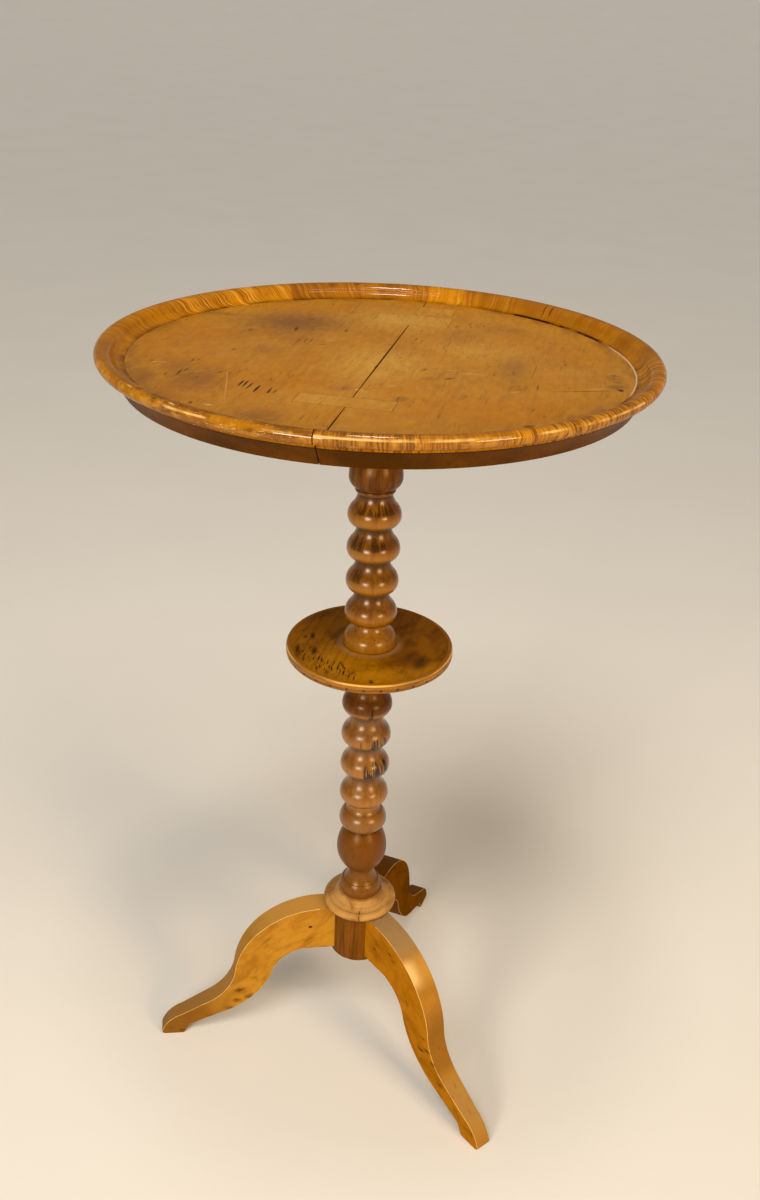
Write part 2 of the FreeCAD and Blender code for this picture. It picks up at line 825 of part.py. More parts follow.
def write_parts():
    doc.recompute()
    failed = [item.Name for item in doc.Objects if {"Invalid", "Error"} & set(item.State)]
    failed += [item.Label for item in nodes if item.Shape.isNull() or not item.Shape.isValid()]
    if failed:
        raise RuntimeError(f"these objects failed: {failed}")
    os.makedirs("parts", exist_ok=True)
    for item in nodes:
        item.Shape.exportStep(os.path.join("parts", f"{item.Label}.step"))
        solids = len(item.Shape.Solids)
        print(f"{item.Label}: {solids} solid(s), {item.Shape.Volume / 1000:.1f} cm3")


make_hub()
for leg_name, leg_angle in LEG_ANGLES.items():
    make_leg(leg_name, leg_angle)
make_collar()
make_lower_column()
make_shelf()
make_upper_column()
make_wedge()
make_top()
write_parts()
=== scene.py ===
import math

import bpy
from mathutils import Matrix, Vector


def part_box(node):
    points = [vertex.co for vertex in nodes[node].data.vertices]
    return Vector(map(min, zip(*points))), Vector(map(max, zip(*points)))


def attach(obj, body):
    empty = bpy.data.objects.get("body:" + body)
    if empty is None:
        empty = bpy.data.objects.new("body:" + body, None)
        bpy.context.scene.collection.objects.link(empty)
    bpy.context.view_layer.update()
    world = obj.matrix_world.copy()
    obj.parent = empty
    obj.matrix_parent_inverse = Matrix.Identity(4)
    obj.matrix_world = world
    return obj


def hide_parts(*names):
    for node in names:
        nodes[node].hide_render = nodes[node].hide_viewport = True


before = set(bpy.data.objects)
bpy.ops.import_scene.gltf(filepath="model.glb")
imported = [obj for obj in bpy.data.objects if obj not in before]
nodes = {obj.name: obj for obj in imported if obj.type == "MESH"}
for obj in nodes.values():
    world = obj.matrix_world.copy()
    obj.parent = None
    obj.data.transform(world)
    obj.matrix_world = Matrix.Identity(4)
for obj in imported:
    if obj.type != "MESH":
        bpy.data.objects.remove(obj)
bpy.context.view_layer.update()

bench = {}  # the node tree being built, with its material's look, coordinates and colour so far


def tint(code):
    # sRGB hex to the linear colour that a socket takes
    parts = [int(code[i:i + 2], 16) / 255 for i in (0, 2, 4)]
    linear = [p / 12.92 if p <= 0.04045 else ((p + 0.055) / 1.055) ** 2.4 for p in parts]
    return (*linear, 1.0)


# Node helpers: each adds to the tree on the bench, and returns a socket or the node it added

def feed(socket, value):
    if isinstance(value, bpy.types.NodeSocket):
        bench["tree"].links.new(value, socket)
    else:
        socket.default_value = value


def addNode(kind, inputs=None, **settings):
    item = bench["tree"].nodes.new("ShaderNode" + kind)
    for name, value in settings.items():
        setattr(item, name, value)
    for key, value in (inputs or {}).items():
        feed(item.inputs[key], value)
    return item


def calc(operation, first, second=0.0, third=0.0):
    return addNode("Math", {0: first, 1: second, 2: third}, operation=operation).outputs[0]


def folded(operation, values):
    result = values[0]
    for value in values[1:]:
        result = calc(operation, result, value)
    return result


def total(*values):
    return folded("ADD", values)


def product(*values):
    return folded("MULTIPLY", values)


def strongest(*values):
    return folded("MAXIMUM", values)


def apart(value, middle):
    return calc("ABSOLUTE", calc("SUBTRACT", value, middle))


def between(value, low, high, toLow=0.0, toHigh=1.0):
    inputs = {0: value, 1: low, 2: high, 3: toLow, 4: toHigh}
    return addNode("MapRange", inputs, interpolation_type="SMOOTHSTEP").outputs[0]


def near(value, middle, half, soft):
    # 1 within half of the middle, fading out over soft
    return between(apart(value, middle), half + soft, half)


def noise(vector, scale, detail=2.0, rough=0.5, bend=0.0):
    inputs = {"Vector": vector, "Scale": scale, "Detail": detail, "Roughness": rough, "Distortion": bend}
    return addNode("TexNoise", inputs).outputs[0]


def swing(vector, scale, detail=2.0, rough=0.5):
    # noise about zero
    return calc("SUBTRACT", noise(vector, scale, detail, rough), 0.5)


def vectorCalc(operation, first, second=(0.0, 0.0, 0.0)):
    return addNode("VectorMath", {0: first, 1: second}, operation=operation).outputs


def stretched(vector, factors):
    return vectorCalc("MULTIPLY", vector, factors)[0]


def shifted(vector, offset):
    return vectorCalc("ADD", vector, offset)[0]


def turned(vector, angle, axis="Z"):
    inputs = {"Vector": vector, "Angle": angle}
    return addNode("VectorRotate", inputs, rotation_type=axis + "_AXIS").outputs[0]


def spun(vector, degrees, axis="Z"):
    return turned(vector, math.radians(degrees), axis)


def parted(vector):
    return addNode("SeparateXYZ", {0: vector}).outputs


def joined(x, y, z):
    return addNode("CombineXYZ", {0: x, 1: y, 2: z}).outputs[0]


def aroundAxis(coords):
    # angle about the column's axis, distance from it and height
    axes = parted(coords)
    angle = calc("ARCTAN2", axes[1], axes[0])
    return angle, vectorCalc("LENGTH", joined(axes[0], axes[1], 0.0))["Value"], axes[2]


def newGroup(name, inputs, outputs):
    group = bpy.data.node_groups.new(name, "ShaderNodeTree")
    for label in inputs:
        kind = "Vector" if label in ("Vector", "Place", "Size") else "Float"
        group.interface.new_socket(label, in_out="INPUT", socket_type="NodeSocket" + kind)
    for label in outputs:
        group.interface.new_socket(label, in_out="OUTPUT", socket_type="NodeSocketFloat")
    bench["tree"] = group
    entry = group.nodes.new("NodeGroupInput")
    leave = group.nodes.new("NodeGroupOutput")
    return group, entry.outputs, leave.inputs


def place(group, inputs):
    return addNode("Group", inputs, node_tree=group).outputs


# Shared effects

def makeGrain():
    # wood grain along Y: broad streaks, fine fibres and slow clouds of tone
    group, entry, leave = newGroup("woodGrain", ["Vector", "Width"], ["Streaks", "Fibres", "Clouds"])
    scaled = addNode("VectorMath", {0: entry["Vector"], "Scale": entry["Width"]}, operation="SCALE")
    vector = scaled.outputs[0]
    feed(leave["Streaks"], noise(stretched(vector, (150, 6, 150)), 1, 4, 0.55))
    feed(leave["Fibres"], noise(stretched(vector, (900, 26, 900)), 1, 3, 0.6))
    feed(leave["Clouds"], noise(vector, 13, 3, 0.5))
    return group


def makeMottle():
    # soft blotches of a close-grained wood, and short hair lines along Y
    group, entry, leave = newGroup("softMottle", ["Vector", "Scale"], ["Mottle", "Hairs", "Dabs"])
    vector = entry["Vector"]
    feed(leave["Mottle"], noise(stretched(vector, (1.0, 0.55, 1.0)), entry["Scale"], 5, 0.58, 0.7))
    lines = noise(stretched(vector, (620, 48, 620)), 1, 2, 0.5)
    gather = noise(vector, 27, 2, 0.5)
    feed(leave["Hairs"], product(between(lines, 0.56, 0.70), between(gather, 0.46, 0.62)))
    feed(leave["Dabs"], noise(stretched(vector, (1.0, 0.4, 1.0)), 190, 4, 0.65))
    return group


def makeStripes():
    # cross figure: bars that change along X, swaying and leaning a little along Y
    group, entry, leave = newGroup("crossStripes", ["Vector", "Pitch", "Lean"], ["Bars"])
    axes = parted(entry["Vector"])
    along = calc("MULTIPLY_ADD", axes[1], entry["Lean"], axes[0])
    along = calc("MULTIPLY_ADD", swing(entry["Vector"], 60, 2, 0.5), 0.007, along)
    along = product(along, entry["Pitch"])
    feed(leave["Bars"], noise(joined(along, product(axes[1], 16.0), product(axes[2], 16.0)), 1, 2, 0.55))
    return group


def makeFlecks():
    # short dark dashes along Y, gathered in clusters
    group, entry, leave = newGroup("darkFlecks", ["Vector", "Amount"], ["Mask"])
    dashes = noise(stretched(entry["Vector"], (430, 75, 430)), 1, 1, 0.4)
    cluster = between(noise(entry["Vector"], 19, 1, 0.5), 0.50, 0.66)
    feed(leave["Mask"], product(between(dashes, 0.64, 0.72), cluster, entry["Amount"]))
    return group


def makeMark():
    # one stain, knot or stroke: a ragged soft ellipse at a place on the piece
    inputs = ["Vector", "Torn", "Place", "Size", "Turn", "Ragged", "Core"]
    group, entry, leave = newGroup("placedMark", inputs, ["Mask"])
    away = turned(vectorCalc("SUBTRACT", entry["Vector"], entry["Place"])[0], entry["Turn"])
    reach = vectorCalc("LENGTH", vectorCalc("DIVIDE", away, entry["Size"])[0])["Value"]
    reach = calc("MULTIPLY_ADD", entry["Torn"], entry["Ragged"], reach)
    feed(leave["Mask"], between(reach, 1.0, entry["Core"]))
    return group


def makeFlames():
    # dark upright spikes in a patch of a turned surface: X is the arc round it, Y the height
    group, entry, leave = newGroup("flameSpikes", ["Vector", "Middle", "Half", "Foot", "Rise"], ["Mask"])
    axes = parted(entry["Vector"])
    spikes = noise(stretched(entry["Vector"], (520, 30, 1)), 1, 2, 0.5)
    level = calc("MULTIPLY_ADD", between(spikes, 0.33, 0.62), entry["Rise"], entry["Foot"])
    over = calc("SUBTRACT", level, axes[1])
    above = calc("SUBTRACT", axes[1], entry["Foot"])
    inside = calc("SUBTRACT", entry["Half"], apart(axes[0], entry["Middle"]))
    mask = product(
        between(over, 0.0, 0.0010),
        between(above, -0.0008, 0.0010),
        between(inside, 0.0, 0.0020),
        between(spikes, 0.34, 0.40),
    )
    feed(leave["Mask"], mask)
    return group


def makeScratches():
    # long thin rubbed lines, found where slow stretched noise crosses its middle
    group, entry, leave = newGroup("thinScratches", ["Vector", "Turn"], ["Mask"])
    line = noise(stretched(turned(entry["Vector"], entry["Turn"]), (70, 9, 70)), 1, 1, 0.4)
    sparse = between(noise(entry["Vector"], 24, 2, 0.5), 0.55, 0.68)
    feed(leave["Mask"], product(between(apart(line, 0.5), 0.004, 0.001), sparse))
    return group


def makeVarnish():
    # patchy gloss and the slight ripple of old hand-brushed varnish
    group, entry, leave = newGroup("oldVarnish", ["Vector", "Gloss", "Spread"], ["Roughness", "Ripple"])
    haze = swing(entry["Vector"], 60, 4, 0.6)
    rubbed = swing(entry["Vector"], 11, 2, 0.5)
    feed(leave["Roughness"], total(entry["Gloss"], product(total(haze, rubbed), entry["Spread"])))
    feed(leave["Ripple"], noise(entry["Vector"], 85, 2, 0.4))
    return group


grainGroup = makeGrain()
mottleGroup = makeMottle()
stripeGroup = makeStripes()
fleckGroup = makeFlecks()
markGroup = makeMark()
flameGroup = makeFlames()
scratchGroup = makeScratches()
varnishGroup = makeVarnish()
print("shared effects ready")


# Materials: each starts on the bench with a base tone, takes paint and is finished

varnishTint = "ffd098"


def newMaterial(name, look, base):
    material = bpy.data.materials.new(name)
    material.use_nodes = True
    material.node_tree.nodes.clear()
    bench.update(tree=material.node_tree, material=material, look=look, torn=None)
    bench["colour"] = tint(look.get(base, base))
    bench["coords"] = addNode("TexCoord").outputs["Object"]
    return bench["coords"]


def paint(mask, tone):
    # a tone of the look, or a hex code, laid over the colour so far
    item = addNode("Mix", data_type="RGBA")
    feed(item.inputs[0], mask)
    feed(item.inputs[6], bench["colour"])
    feed(item.inputs[7], tint(bench["look"].get(tone, tone)))
    bench["colour"] = item.outputs[2]


def wash(value, low, high, strength, tone):
    # a tone that comes in as the value goes from low to high
    paint(between(value, low, high, 0.0, strength), tone)


def woodGrain(vector):
    return place(grainGroup, {"Vector": vector, "Width": bench["look"]["grainWidth"]})


def woodFigure(vector):
    return place(mottleGroup, {"Vector": vector, "Scale": bench["look"]["figureScale"]})


def varnished():
    # a look's gloss: the roughness, and how much it varies
    gloss, spread = bench["look"]["gloss"]
    return place(varnishGroup, {"Vector": bench["coords"], "Gloss": gloss, "Spread": spread})


def tornEdge():
    # one noise that frays all the marks on a material
    if bench["torn"] is None:
        bench["torn"] = swing(bench["coords"], 230, 4, 0.6)
    return bench["torn"]


def marks(rows, coords):
    # the strongest of several placed marks; a row: place mm, half size mm, turn, ragged, core, strength
    masks = []
    for spot, size, turn, ragged, core, strength in rows:
        inputs = {
            "Vector": coords,
            "Torn": tornEdge(),
            "Place": [value / 1000 for value in spot],
            "Size": [value / 1000 for value in size],
            "Turn": math.radians(turn),
            "Ragged": ragged,
            "Core": core,
        }
        masks.append(product(place(markGroup, inputs)["Mask"], strength))
    return strongest(*masks)


def paintMarks(rows, tone, coords=None):
    if rows:
        paint(marks(rows, bench["coords"] if coords is None else coords), tone)


def finishMaterial(roughness, height, depth=0.0003, specular=None, polish=None, polishRough=0.1):
    if specular is None:
        specular = bench["look"]["specular"]
    shader = addNode("BsdfPrincipled", {"Base Color": bench["colour"], "Roughness": roughness})
    shader.inputs["Specular IOR Level"].default_value = specular
    shader.inputs["Specular Tint"].default_value = tint(varnishTint)
    if polish is not None:
        feed(shader.inputs["Coat Weight"], polish)
        shader.inputs["Coat Roughness"].default_value = polishRough
    bump = addNode("Bump", {"Height": height, "Distance": depth})
    feed(shader.inputs["Normal"], bump.outputs[0])
    feed(addNode("OutputMaterial").inputs[0], shader.outputs[0])
    return bench["material"]


def wear(material, *names):
    for name in names:
        nodes[name].material_slots[0].material = material


# Top: veneer field

fieldLook = {
    "grainTurn": 19.8,  # degrees the grain lies clockwise from +Y
    "height": 738.0,  # mm, of the marks
    "depth": 40.0,  # mm, that they reach
    "reach": 0.204,
    "rimwardDarkWidth": 0.016,
    "fleckAmount": 0.45,
    "scratchTurn": 62,
    "honey": "ac751e", "pale": "c0923c", "amber": "a86a0e", "shade": "875410", "haze": "6a4526",
    "fleck": "2a1707", "scratch": "dcb878", "seam": "5e3a10",
    "grainWidth": 1.0, "figureScale": 34.0, "gloss": (0.42, 0.26), "specular": 0.25,
    "leaves": {
        # name: how pale, strength of the side seams and of the end seams, pattern shift
        "field_leaf_left_edge": (0.0, 0.05, 0.0, 0.0),
        "field_leaf_left": (0.0, 0.06, 0.0, 0.0),
        "field_leaf_right": (0.05, 0.10, 0.0, 0.62),
        "field_leaf_right_back": (0.05, 0.10, 0.0, 0.62),
        "field_leaf_right_front": (0.0, 0.10, 0.0, 0.80),
        "front_key": (0.28, 0.60, 0.65, 1.55),
        "back_key": (0.30, 0.50, 0.50, 1.86),
        "back_strip": (0.35, 0.50, 0.55, 2.17),
    },
    # marks: across the table mm, away from the front mm, half size across, half size along,
    # turn, ragged, core, strength; first where the veneer is paler and where it is more orange
    "paleAreas": [
        (-6, -20, 60, 80, 20, 0.6, 0.0, 0.75), (30, 120, 70, 60, 0, 0.6, 0.0, 0.65),
        (80, 20, 60, 50, 0, 0.6, 0.0, 0.45), (-60, -110, 70, 40, 0, 0.6, 0.0, 0.30),
    ],
    "amberAreas": [
        (60, -150, 120, 60, 0, 0.6, 0.0, 0.85), (-150, 60, 50, 70, 0, 0.6, 0.0, 0.55),
        (-90, -120, 60, 60, 0, 0.6, 0.0, 0.35), (165, -10, 30, 60, 0, 0.6, 0.0, 0.45),
        (-40, 165, 80, 30, 0, 0.6, 0.0, 0.40),
    ],
    "hazes": [
        (-62, 112, 74, 62, 12, 0.9, 0.0, 0.75), (-84, 112, 34, 11, 4, 1.0, 0.0, 0.60),
        (-120, 142, 30, 12, 24, 0.8, 0.0, 0.40), (-148, -56, 34, 48, 0, 1.0, 0.0, 0.55),
        (-186, -50, 14, 34, 0, 0.9, 0.0, 0.45), (-108, -146, 34, 24, 0, 1.0, 0.0, 0.45),
        (-90, 20, 22, 26, 0, 1.0, 0.0, 0.28), (-45, 124, 12, 7, 10, 0.7, 0.2, 0.55),
        (-60, 60, 24, 30, 20, 0.9, 0.0, 0.30), (102, -34, 20, 52, 21, 0.5, 0.2, 0.34),
        (-160, -28, 24, 36, 0, 0.9, 0.0, 0.42), (0, -110, 7, 10, 15, 0.6, 0.3, 0.50),
        (172, -84, 11, 9, 0, 0.6, 0.2, 0.60), (176, -62, 10, 16, 0, 0.8, 0.0, 0.40),
        (30, -60, 10, 6, 0, 0.6, 0.1, 0.40), (80, 60, 26, 40, 20, 0.9, 0.0, 0.22),
        (-40, -84, 14, 10, 0, 0.9, 0.0, 0.35), (120, 90, 30, 24, 0, 0.9, 0.0, 0.22),
    ],
    "strokes": [
        (-115, -69, 1.3, 11, 20, 0.5, 0.3, 1.0), (-112, -71, 1.3, 12, 18, 0.5, 0.3, 1.0),
        (-109, -76, 1.3, 11, 22, 0.5, 0.3, 0.9), (-104, -83, 1.7, 13, 20, 0.5, 0.3, 1.0),
        (-95, -88, 1.4, 10, 16, 0.6, 0.3, 0.9), (-91, -90, 1.0, 7, 24, 0.6, 0.3, 0.7),
        (-62, 90, 2.4, 10, 14, 0.6, 0.3, 0.75), (-45, 125, 7, 2.6, -14, 0.7, 0.2, 0.70),
        (-102, 86, 3.0, 4, 10, 0.6, 0.2, 0.55), (-63, 52, 1.0, 8, 18, 0.5, 0.3, 0.60),
        (-57, 52, 1.0, 8, 18, 0.5, 0.3, 0.60), (-52, 52, 1.0, 8, 18, 0.5, 0.3, 0.60),
        (-44, 39, 6, 1.8, 0, 0.6, 0.2, 0.50), (-19, 84, 1.8, 5, 18, 0.5, 0.3, 0.65),
        (-161, -40, 1.6, 11, 16, 0.6, 0.2, 0.70), (-156, -34, 1.2, 8, 20, 0.6, 0.2, 0.60),
        (-151, -8, 1.8, 7, 16, 0.6, 0.2, 0.55), (-146, -5, 1.2, 6, 16, 0.6, 0.2, 0.45),
        (-171, -45, 1.4, 7, 12, 0.6, 0.2, 0.55), (-155, 13, 15, 0.8, 0, 0.6, 0.1, 0.45),
        (-118, 24, 2.2, 5, 18, 0.6, 0.2, 0.55), (-152, -115, 2.0, 5, 10, 0.6, 0.2, 0.70),
        (-153, -139, 1.4, 4, 10, 0.6, 0.2, 0.70), (45, -60, 6, 2.4, -16, 0.6, 0.2, 0.70),
        (58, 30, 1.0, 12, 20, 0.6, 0.1, 0.40), (64, 40, 0.9, 14, 20, 0.6, 0.1, 0.40),
        (48, 84, 1.4, 8, 20, 0.6, 0.1, 0.40), (119, -38, 0.8, 45, 21, 0.3, 0.1, 0.45),
        (61, -118, 0.7, 30, 20, 0.3, 0.1, 0.32), (71, -119, 0.7, 28, 20, 0.3, 0.1, 0.28),
        (139, -94, 34, 1.3, -1, 0.5, 0.1, 0.72), (172, -92, 3.4, 4.0, 0, 0.5, 0.3, 1.00),
        (176, -72, 6, 1.8, 30, 0.6, 0.1, 0.55), (180, -54, 6, 1.8, 30, 0.6, 0.1, 0.50),
        (42, -188, 9, 3.0, -8, 0.8, 0.2, 0.75), (79, -173, 7, 3.0, -14, 0.8, 0.2, 0.65),
        (-40, -84, 1.2, 6, 30, 0.6, 0.2, 0.50), (-47, -66, 1.0, 5, 20, 0.6, 0.2, 0.40),
        (-76, -150, 1.2, 10, 20, 0.6, 0.2, 0.40), (-66, -150, 1.0, 8, 20, 0.6, 0.2, 0.35),
        (20, -150, 1.2, 9, 20, 0.6, 0.2, 0.35),
        # the split's dark edges, and where it is widest
        (3.2, 2, 1.2, 124, 19.8, 0.3, 0.3, 0.95), (-7.3, -27, 1.8, 10, 19.8, 0.5, 0.2, 0.95),
        (-55.8, -161.7, 1.0, 36, 19.8, 0.3, 0.3, 0.85),
    ],
    "scratches": [
        (-140, -120, 6, 1.2, 20, 0.5, 0.1, 0.80), (-126, -70, 0.7, 62, 3, 0.5, 0.0, 0.40),
        (65, -48, 13, 0.8, 18, 0.5, 0.1, 0.65), (50, -38, 9, 0.7, 10, 0.5, 0.1, 0.55),
        (-4, -78, 8, 1.0, -10, 0.5, 0.1, 0.45), (93, 40, 2.0, 1.6, 0, 0.5, 0.1, 0.70),
        (70, 30, 1.6, 1.6, 0, 0.5, 0.1, 0.60), (20, -22, 5, 1.2, 30, 0.5, 0.1, 0.40),
        (-30, -86, 3, 1.6, 0, 0.5, 0.1, 0.65), (155, -88, 14, 1.0, -4, 0.5, 0.1, 0.60),
    ],
}


def onLeaf(name, rows):
    # the rows that reach this leaf, as marks through its thickness
    low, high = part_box(name)
    chosen = []
    for x, y, a, b, *rest in rows:
        reach = max(a, b) / 1000
        insideX = low[0] - reach < x / 1000 < high[0] + reach
        insideY = low[1] - reach < y / 1000 < high[1] + reach
        if insideX and insideY:
            chosen.append(((x, y, fieldLook["height"]), (a, b, fieldLook["depth"]), *rest))
    return chosen


def grainSpan(name):
    # the leaf's extent across and along its grain
    turn = Matrix.Rotation(math.radians(fieldLook["grainTurn"]), 3, "Z")
    corners = [turn @ vertex.co for vertex in nodes[name].data.vertices]
    across = [corner.x for corner in corners]
    along = [corner.y for corner in corners]
    return (min(across), max(across)), (min(along), max(along))


def seam(value, span):
    middle = (span[0] + span[1]) / 2
    half = (span[1] - span[0]) / 2
    return between(apart(value, middle), half - 0.0011, half - 0.0003)


def makeFieldMaterial(name, pale, sideSeam, endSeam, shift):
    look = fieldLook
    coords = newMaterial("veneer_" + name, look, "honey")
    lay = spun(coords, look["grainTurn"])  # the grain along Y
    along = shifted(lay, (shift, shift * 0.7, 0.0))
    grain = woodGrain(along)
    figure = woodFigure(along)
    wash(grain["Clouds"], 0.36, 0.66, 0.6, "amber")
    paintMarks(onLeaf(name, look["amberAreas"]), "amber")
    paintMarks(onLeaf(name, look["paleAreas"]), "pale")
    if pale:
        paint(pale, "pale")
    wash(figure["Mottle"], 0.50, 0.66, 0.20, "shade")
    wash(figure["Dabs"], 0.50, 0.62, 0.20, "shade")
    wash(figure["Dabs"], 0.46, 0.36, 0.16, "pale")
    wash(grain["Streaks"], 0.52, 0.74, 0.25, "shade")
    wash(grain["Fibres"], 0.52, 0.70, 0.30, "shade")
    paint(product(figure["Hairs"], 0.40), "haze")
    paintMarks(onLeaf(name, look["hazes"]), "haze")
    # darker in patches towards the rim
    rimward = between(aroundAxis(coords)[1], look["reach"] - look["rimwardDarkWidth"], look["reach"])
    paint(product(rimward, between(figure["Mottle"], 0.38, 0.66), 0.50), "haze")
    paint(place(fleckGroup, {"Vector": along, "Amount": look["fleckAmount"]})["Mask"], "fleck")
    rubbed = place(scratchGroup, {"Vector": coords, "Turn": math.radians(look["scratchTurn"])})["Mask"]
    paint(product(rubbed, 0.6), "scratch")
    paintMarks(onLeaf(name, look["scratches"]), "scratch")
    sides = parted(lay)
    spanAcross, spanAlong = grainSpan(name)
    joint = product(seam(sides[0], spanAcross), sideSeam)
    if endSeam:
        joint = strongest(joint, product(seam(sides[1], spanAlong), endSeam))
    paint(joint, "seam")
    paintMarks(onLeaf(name, look["strokes"]), "fleck")
    varnish = varnished()
    height = total(product(figure["Dabs"], 0.5), varnish["Ripple"])
    height = calc("SUBTRACT", height, product(joint, 0.5))
    return finishMaterial(varnish["Roughness"], height)


for leafName, leafValues in fieldLook["leaves"].items():
    wear(makeFieldMaterial(leafName, *leafValues), leafName)
print("field veneer ready")


# Top: rim and fascia

rimLook = {
    "amber": "ac7008", "brown": "845008", "stripe": "5a3206", "pale": "d8a23c", "grimeAndShade": "432508",
    "chip": "d9b070",
    "crest": "f4d48a",  # painted highlight along the top of the nosing
    "parting": "1c0f05", "bared": "dcc09a",
    "gloss": (0.17, 0.20),
    "specular": (0.0, 0.05),  # polished pieces, and those that have gone dull
    "polish": (0.6, 0.12),
    "dull": ("rim_left_3", "rim_left_4", "rim_right_3", "rim_right_4"),
    "front": ("rim_left_5", "rim_right_1", "rim_right_2"),  # polished on the nosing alone
    "drawnAway": ("rim_right_2", "rim_right_3", "rim_right_4", "rim_right_5"),
    "middle": 0.2155,
    "height": 746.0,  # mm, of the marks
    "depth": 14.0,  # mm, that they reach
    # radii between which each effect comes in
    "nosing": (0.2160, 0.2200),
    "nicked": (0.2170, 0.2195),
    "brighter": (0.2225, 0.2262),
    "crestHighlightReach": (0.2225, 0.2240),
    # corner: painted shade where the rim's cove meets the field
    "corner": (0.2095, 0.2045),
    "frontPolish": (0.2165, 0.2195),
    "crestHighlightHeight": 0.7472,
    "face": (0.7395, 0.7425),  # heights between which the polish comes in
    "pieces": {
        # name: dark bars, pale bars, how brown, bars a metre, lean, pattern shift, wear of the nosing
        "rim_right_1": (0.76, 0.14, 0.80, 860, 0.0, 0.0, 0.15),
        "rim_right_2": (0.82, 0.20, 0.58, 760, 0.2, 0.4, 0.05),
        "rim_right_3": (0.75, 0.26, 0.45, 640, 0.3, 0.8, 0.05),
        "rim_right_4": (0.15, 0.08, 0.75, 500, 0.1, 1.2, 0.15),
        "rim_right_5": (0.30, 0.12, 0.65, 620, 0.1, 1.6, 0.1),
        "rim_short_piece": (0.30, 0.75, 0.00, 700, 0.0, 2.0, 0.0),
        "rim_left_1": (0.55, 0.16, 0.95, 700, 0.3, 2.4, 0.1),
        "rim_left_2": (0.62, 0.55, 0.20, 760, 0.6, 2.8, 0.0),
        "rim_left_3": (0.30, 0.20, 0.25, 760, 0.5, 3.2, 0.0),
        "rim_left_4": (0.12, 0.04, 0.60, 600, 0.2, 3.6, 0.2),
        "rim_left_5": (0.25, 0.06, 0.85, 620, 0.1, 4.0, 0.6),
    },
    # piece: degrees round, radius mm, half along the edge, half across it, ragged, core, strength
    "darkMarks": {
        "rim_left_1": [
            (95, 217, 9, 5, 0.8, 0.1, 0.6), (88, 219, 7, 4, 0.8, 0.1, 0.6), (80, 218, 8, 5, 0.8, 0.1, 0.5),
        ],
        "rim_right_5": [(37, 215, 1.2, 9, 0.6, 0.2, 0.8), (35, 216, 1.6, 10, 0.6, 0.2, 0.85)],
        "rim_right_4": [(32, 214, 1.4, 9, 0.6, 0.2, 0.7)],
        "rim_left_4": [(213, 222, 9, 5, 1.4, 0.0, 0.5)],
        "rim_left_5": [(219, 222, 12, 5, 1.4, 0.0, 0.7), (225, 223, 14, 4, 1.4, 0.0, 0.5)],
        "rim_right_3": [(336, 224, 1.6, 6, 0.6, 0.2, 0.9), (333, 224, 1.2, 5, 0.6, 0.2, 0.7)],
    },
    "chips": {
        "rim_left_5": [
            (223, 224, 5, 0.8, 1.2, 0.1, 0.8), (233, 219, 1.6, 0.9, 1.2, 0.1, 0.8),
            (236, 219, 1.4, 0.9, 1.2, 0.1, 0.8),
        ],
        "rim_left_4": [(210, 224, 6, 0.8, 1.2, 0.1, 0.6)],
        "rim_right_1": [(258, 219, 1.4, 1.0, 1.2, 0.1, 0.9)],
    },
}


def middleAngle(name):
    corners = [vertex.co for vertex in nodes[name].data.vertices]
    centre = sum(corners, Vector()) / len(corners)
    return math.degrees(math.atan2(centre.y, centre.x))


def onRim(rows):
    placed = []
    for angle, radius, along, across, *rest in rows:
        turn = math.radians(angle)
        spot = (radius * math.cos(turn), radius * math.sin(turn), rimLook["height"])
        placed.append((spot, (along, across, rimLook["depth"]), -(angle + 90), *rest))
    return placed


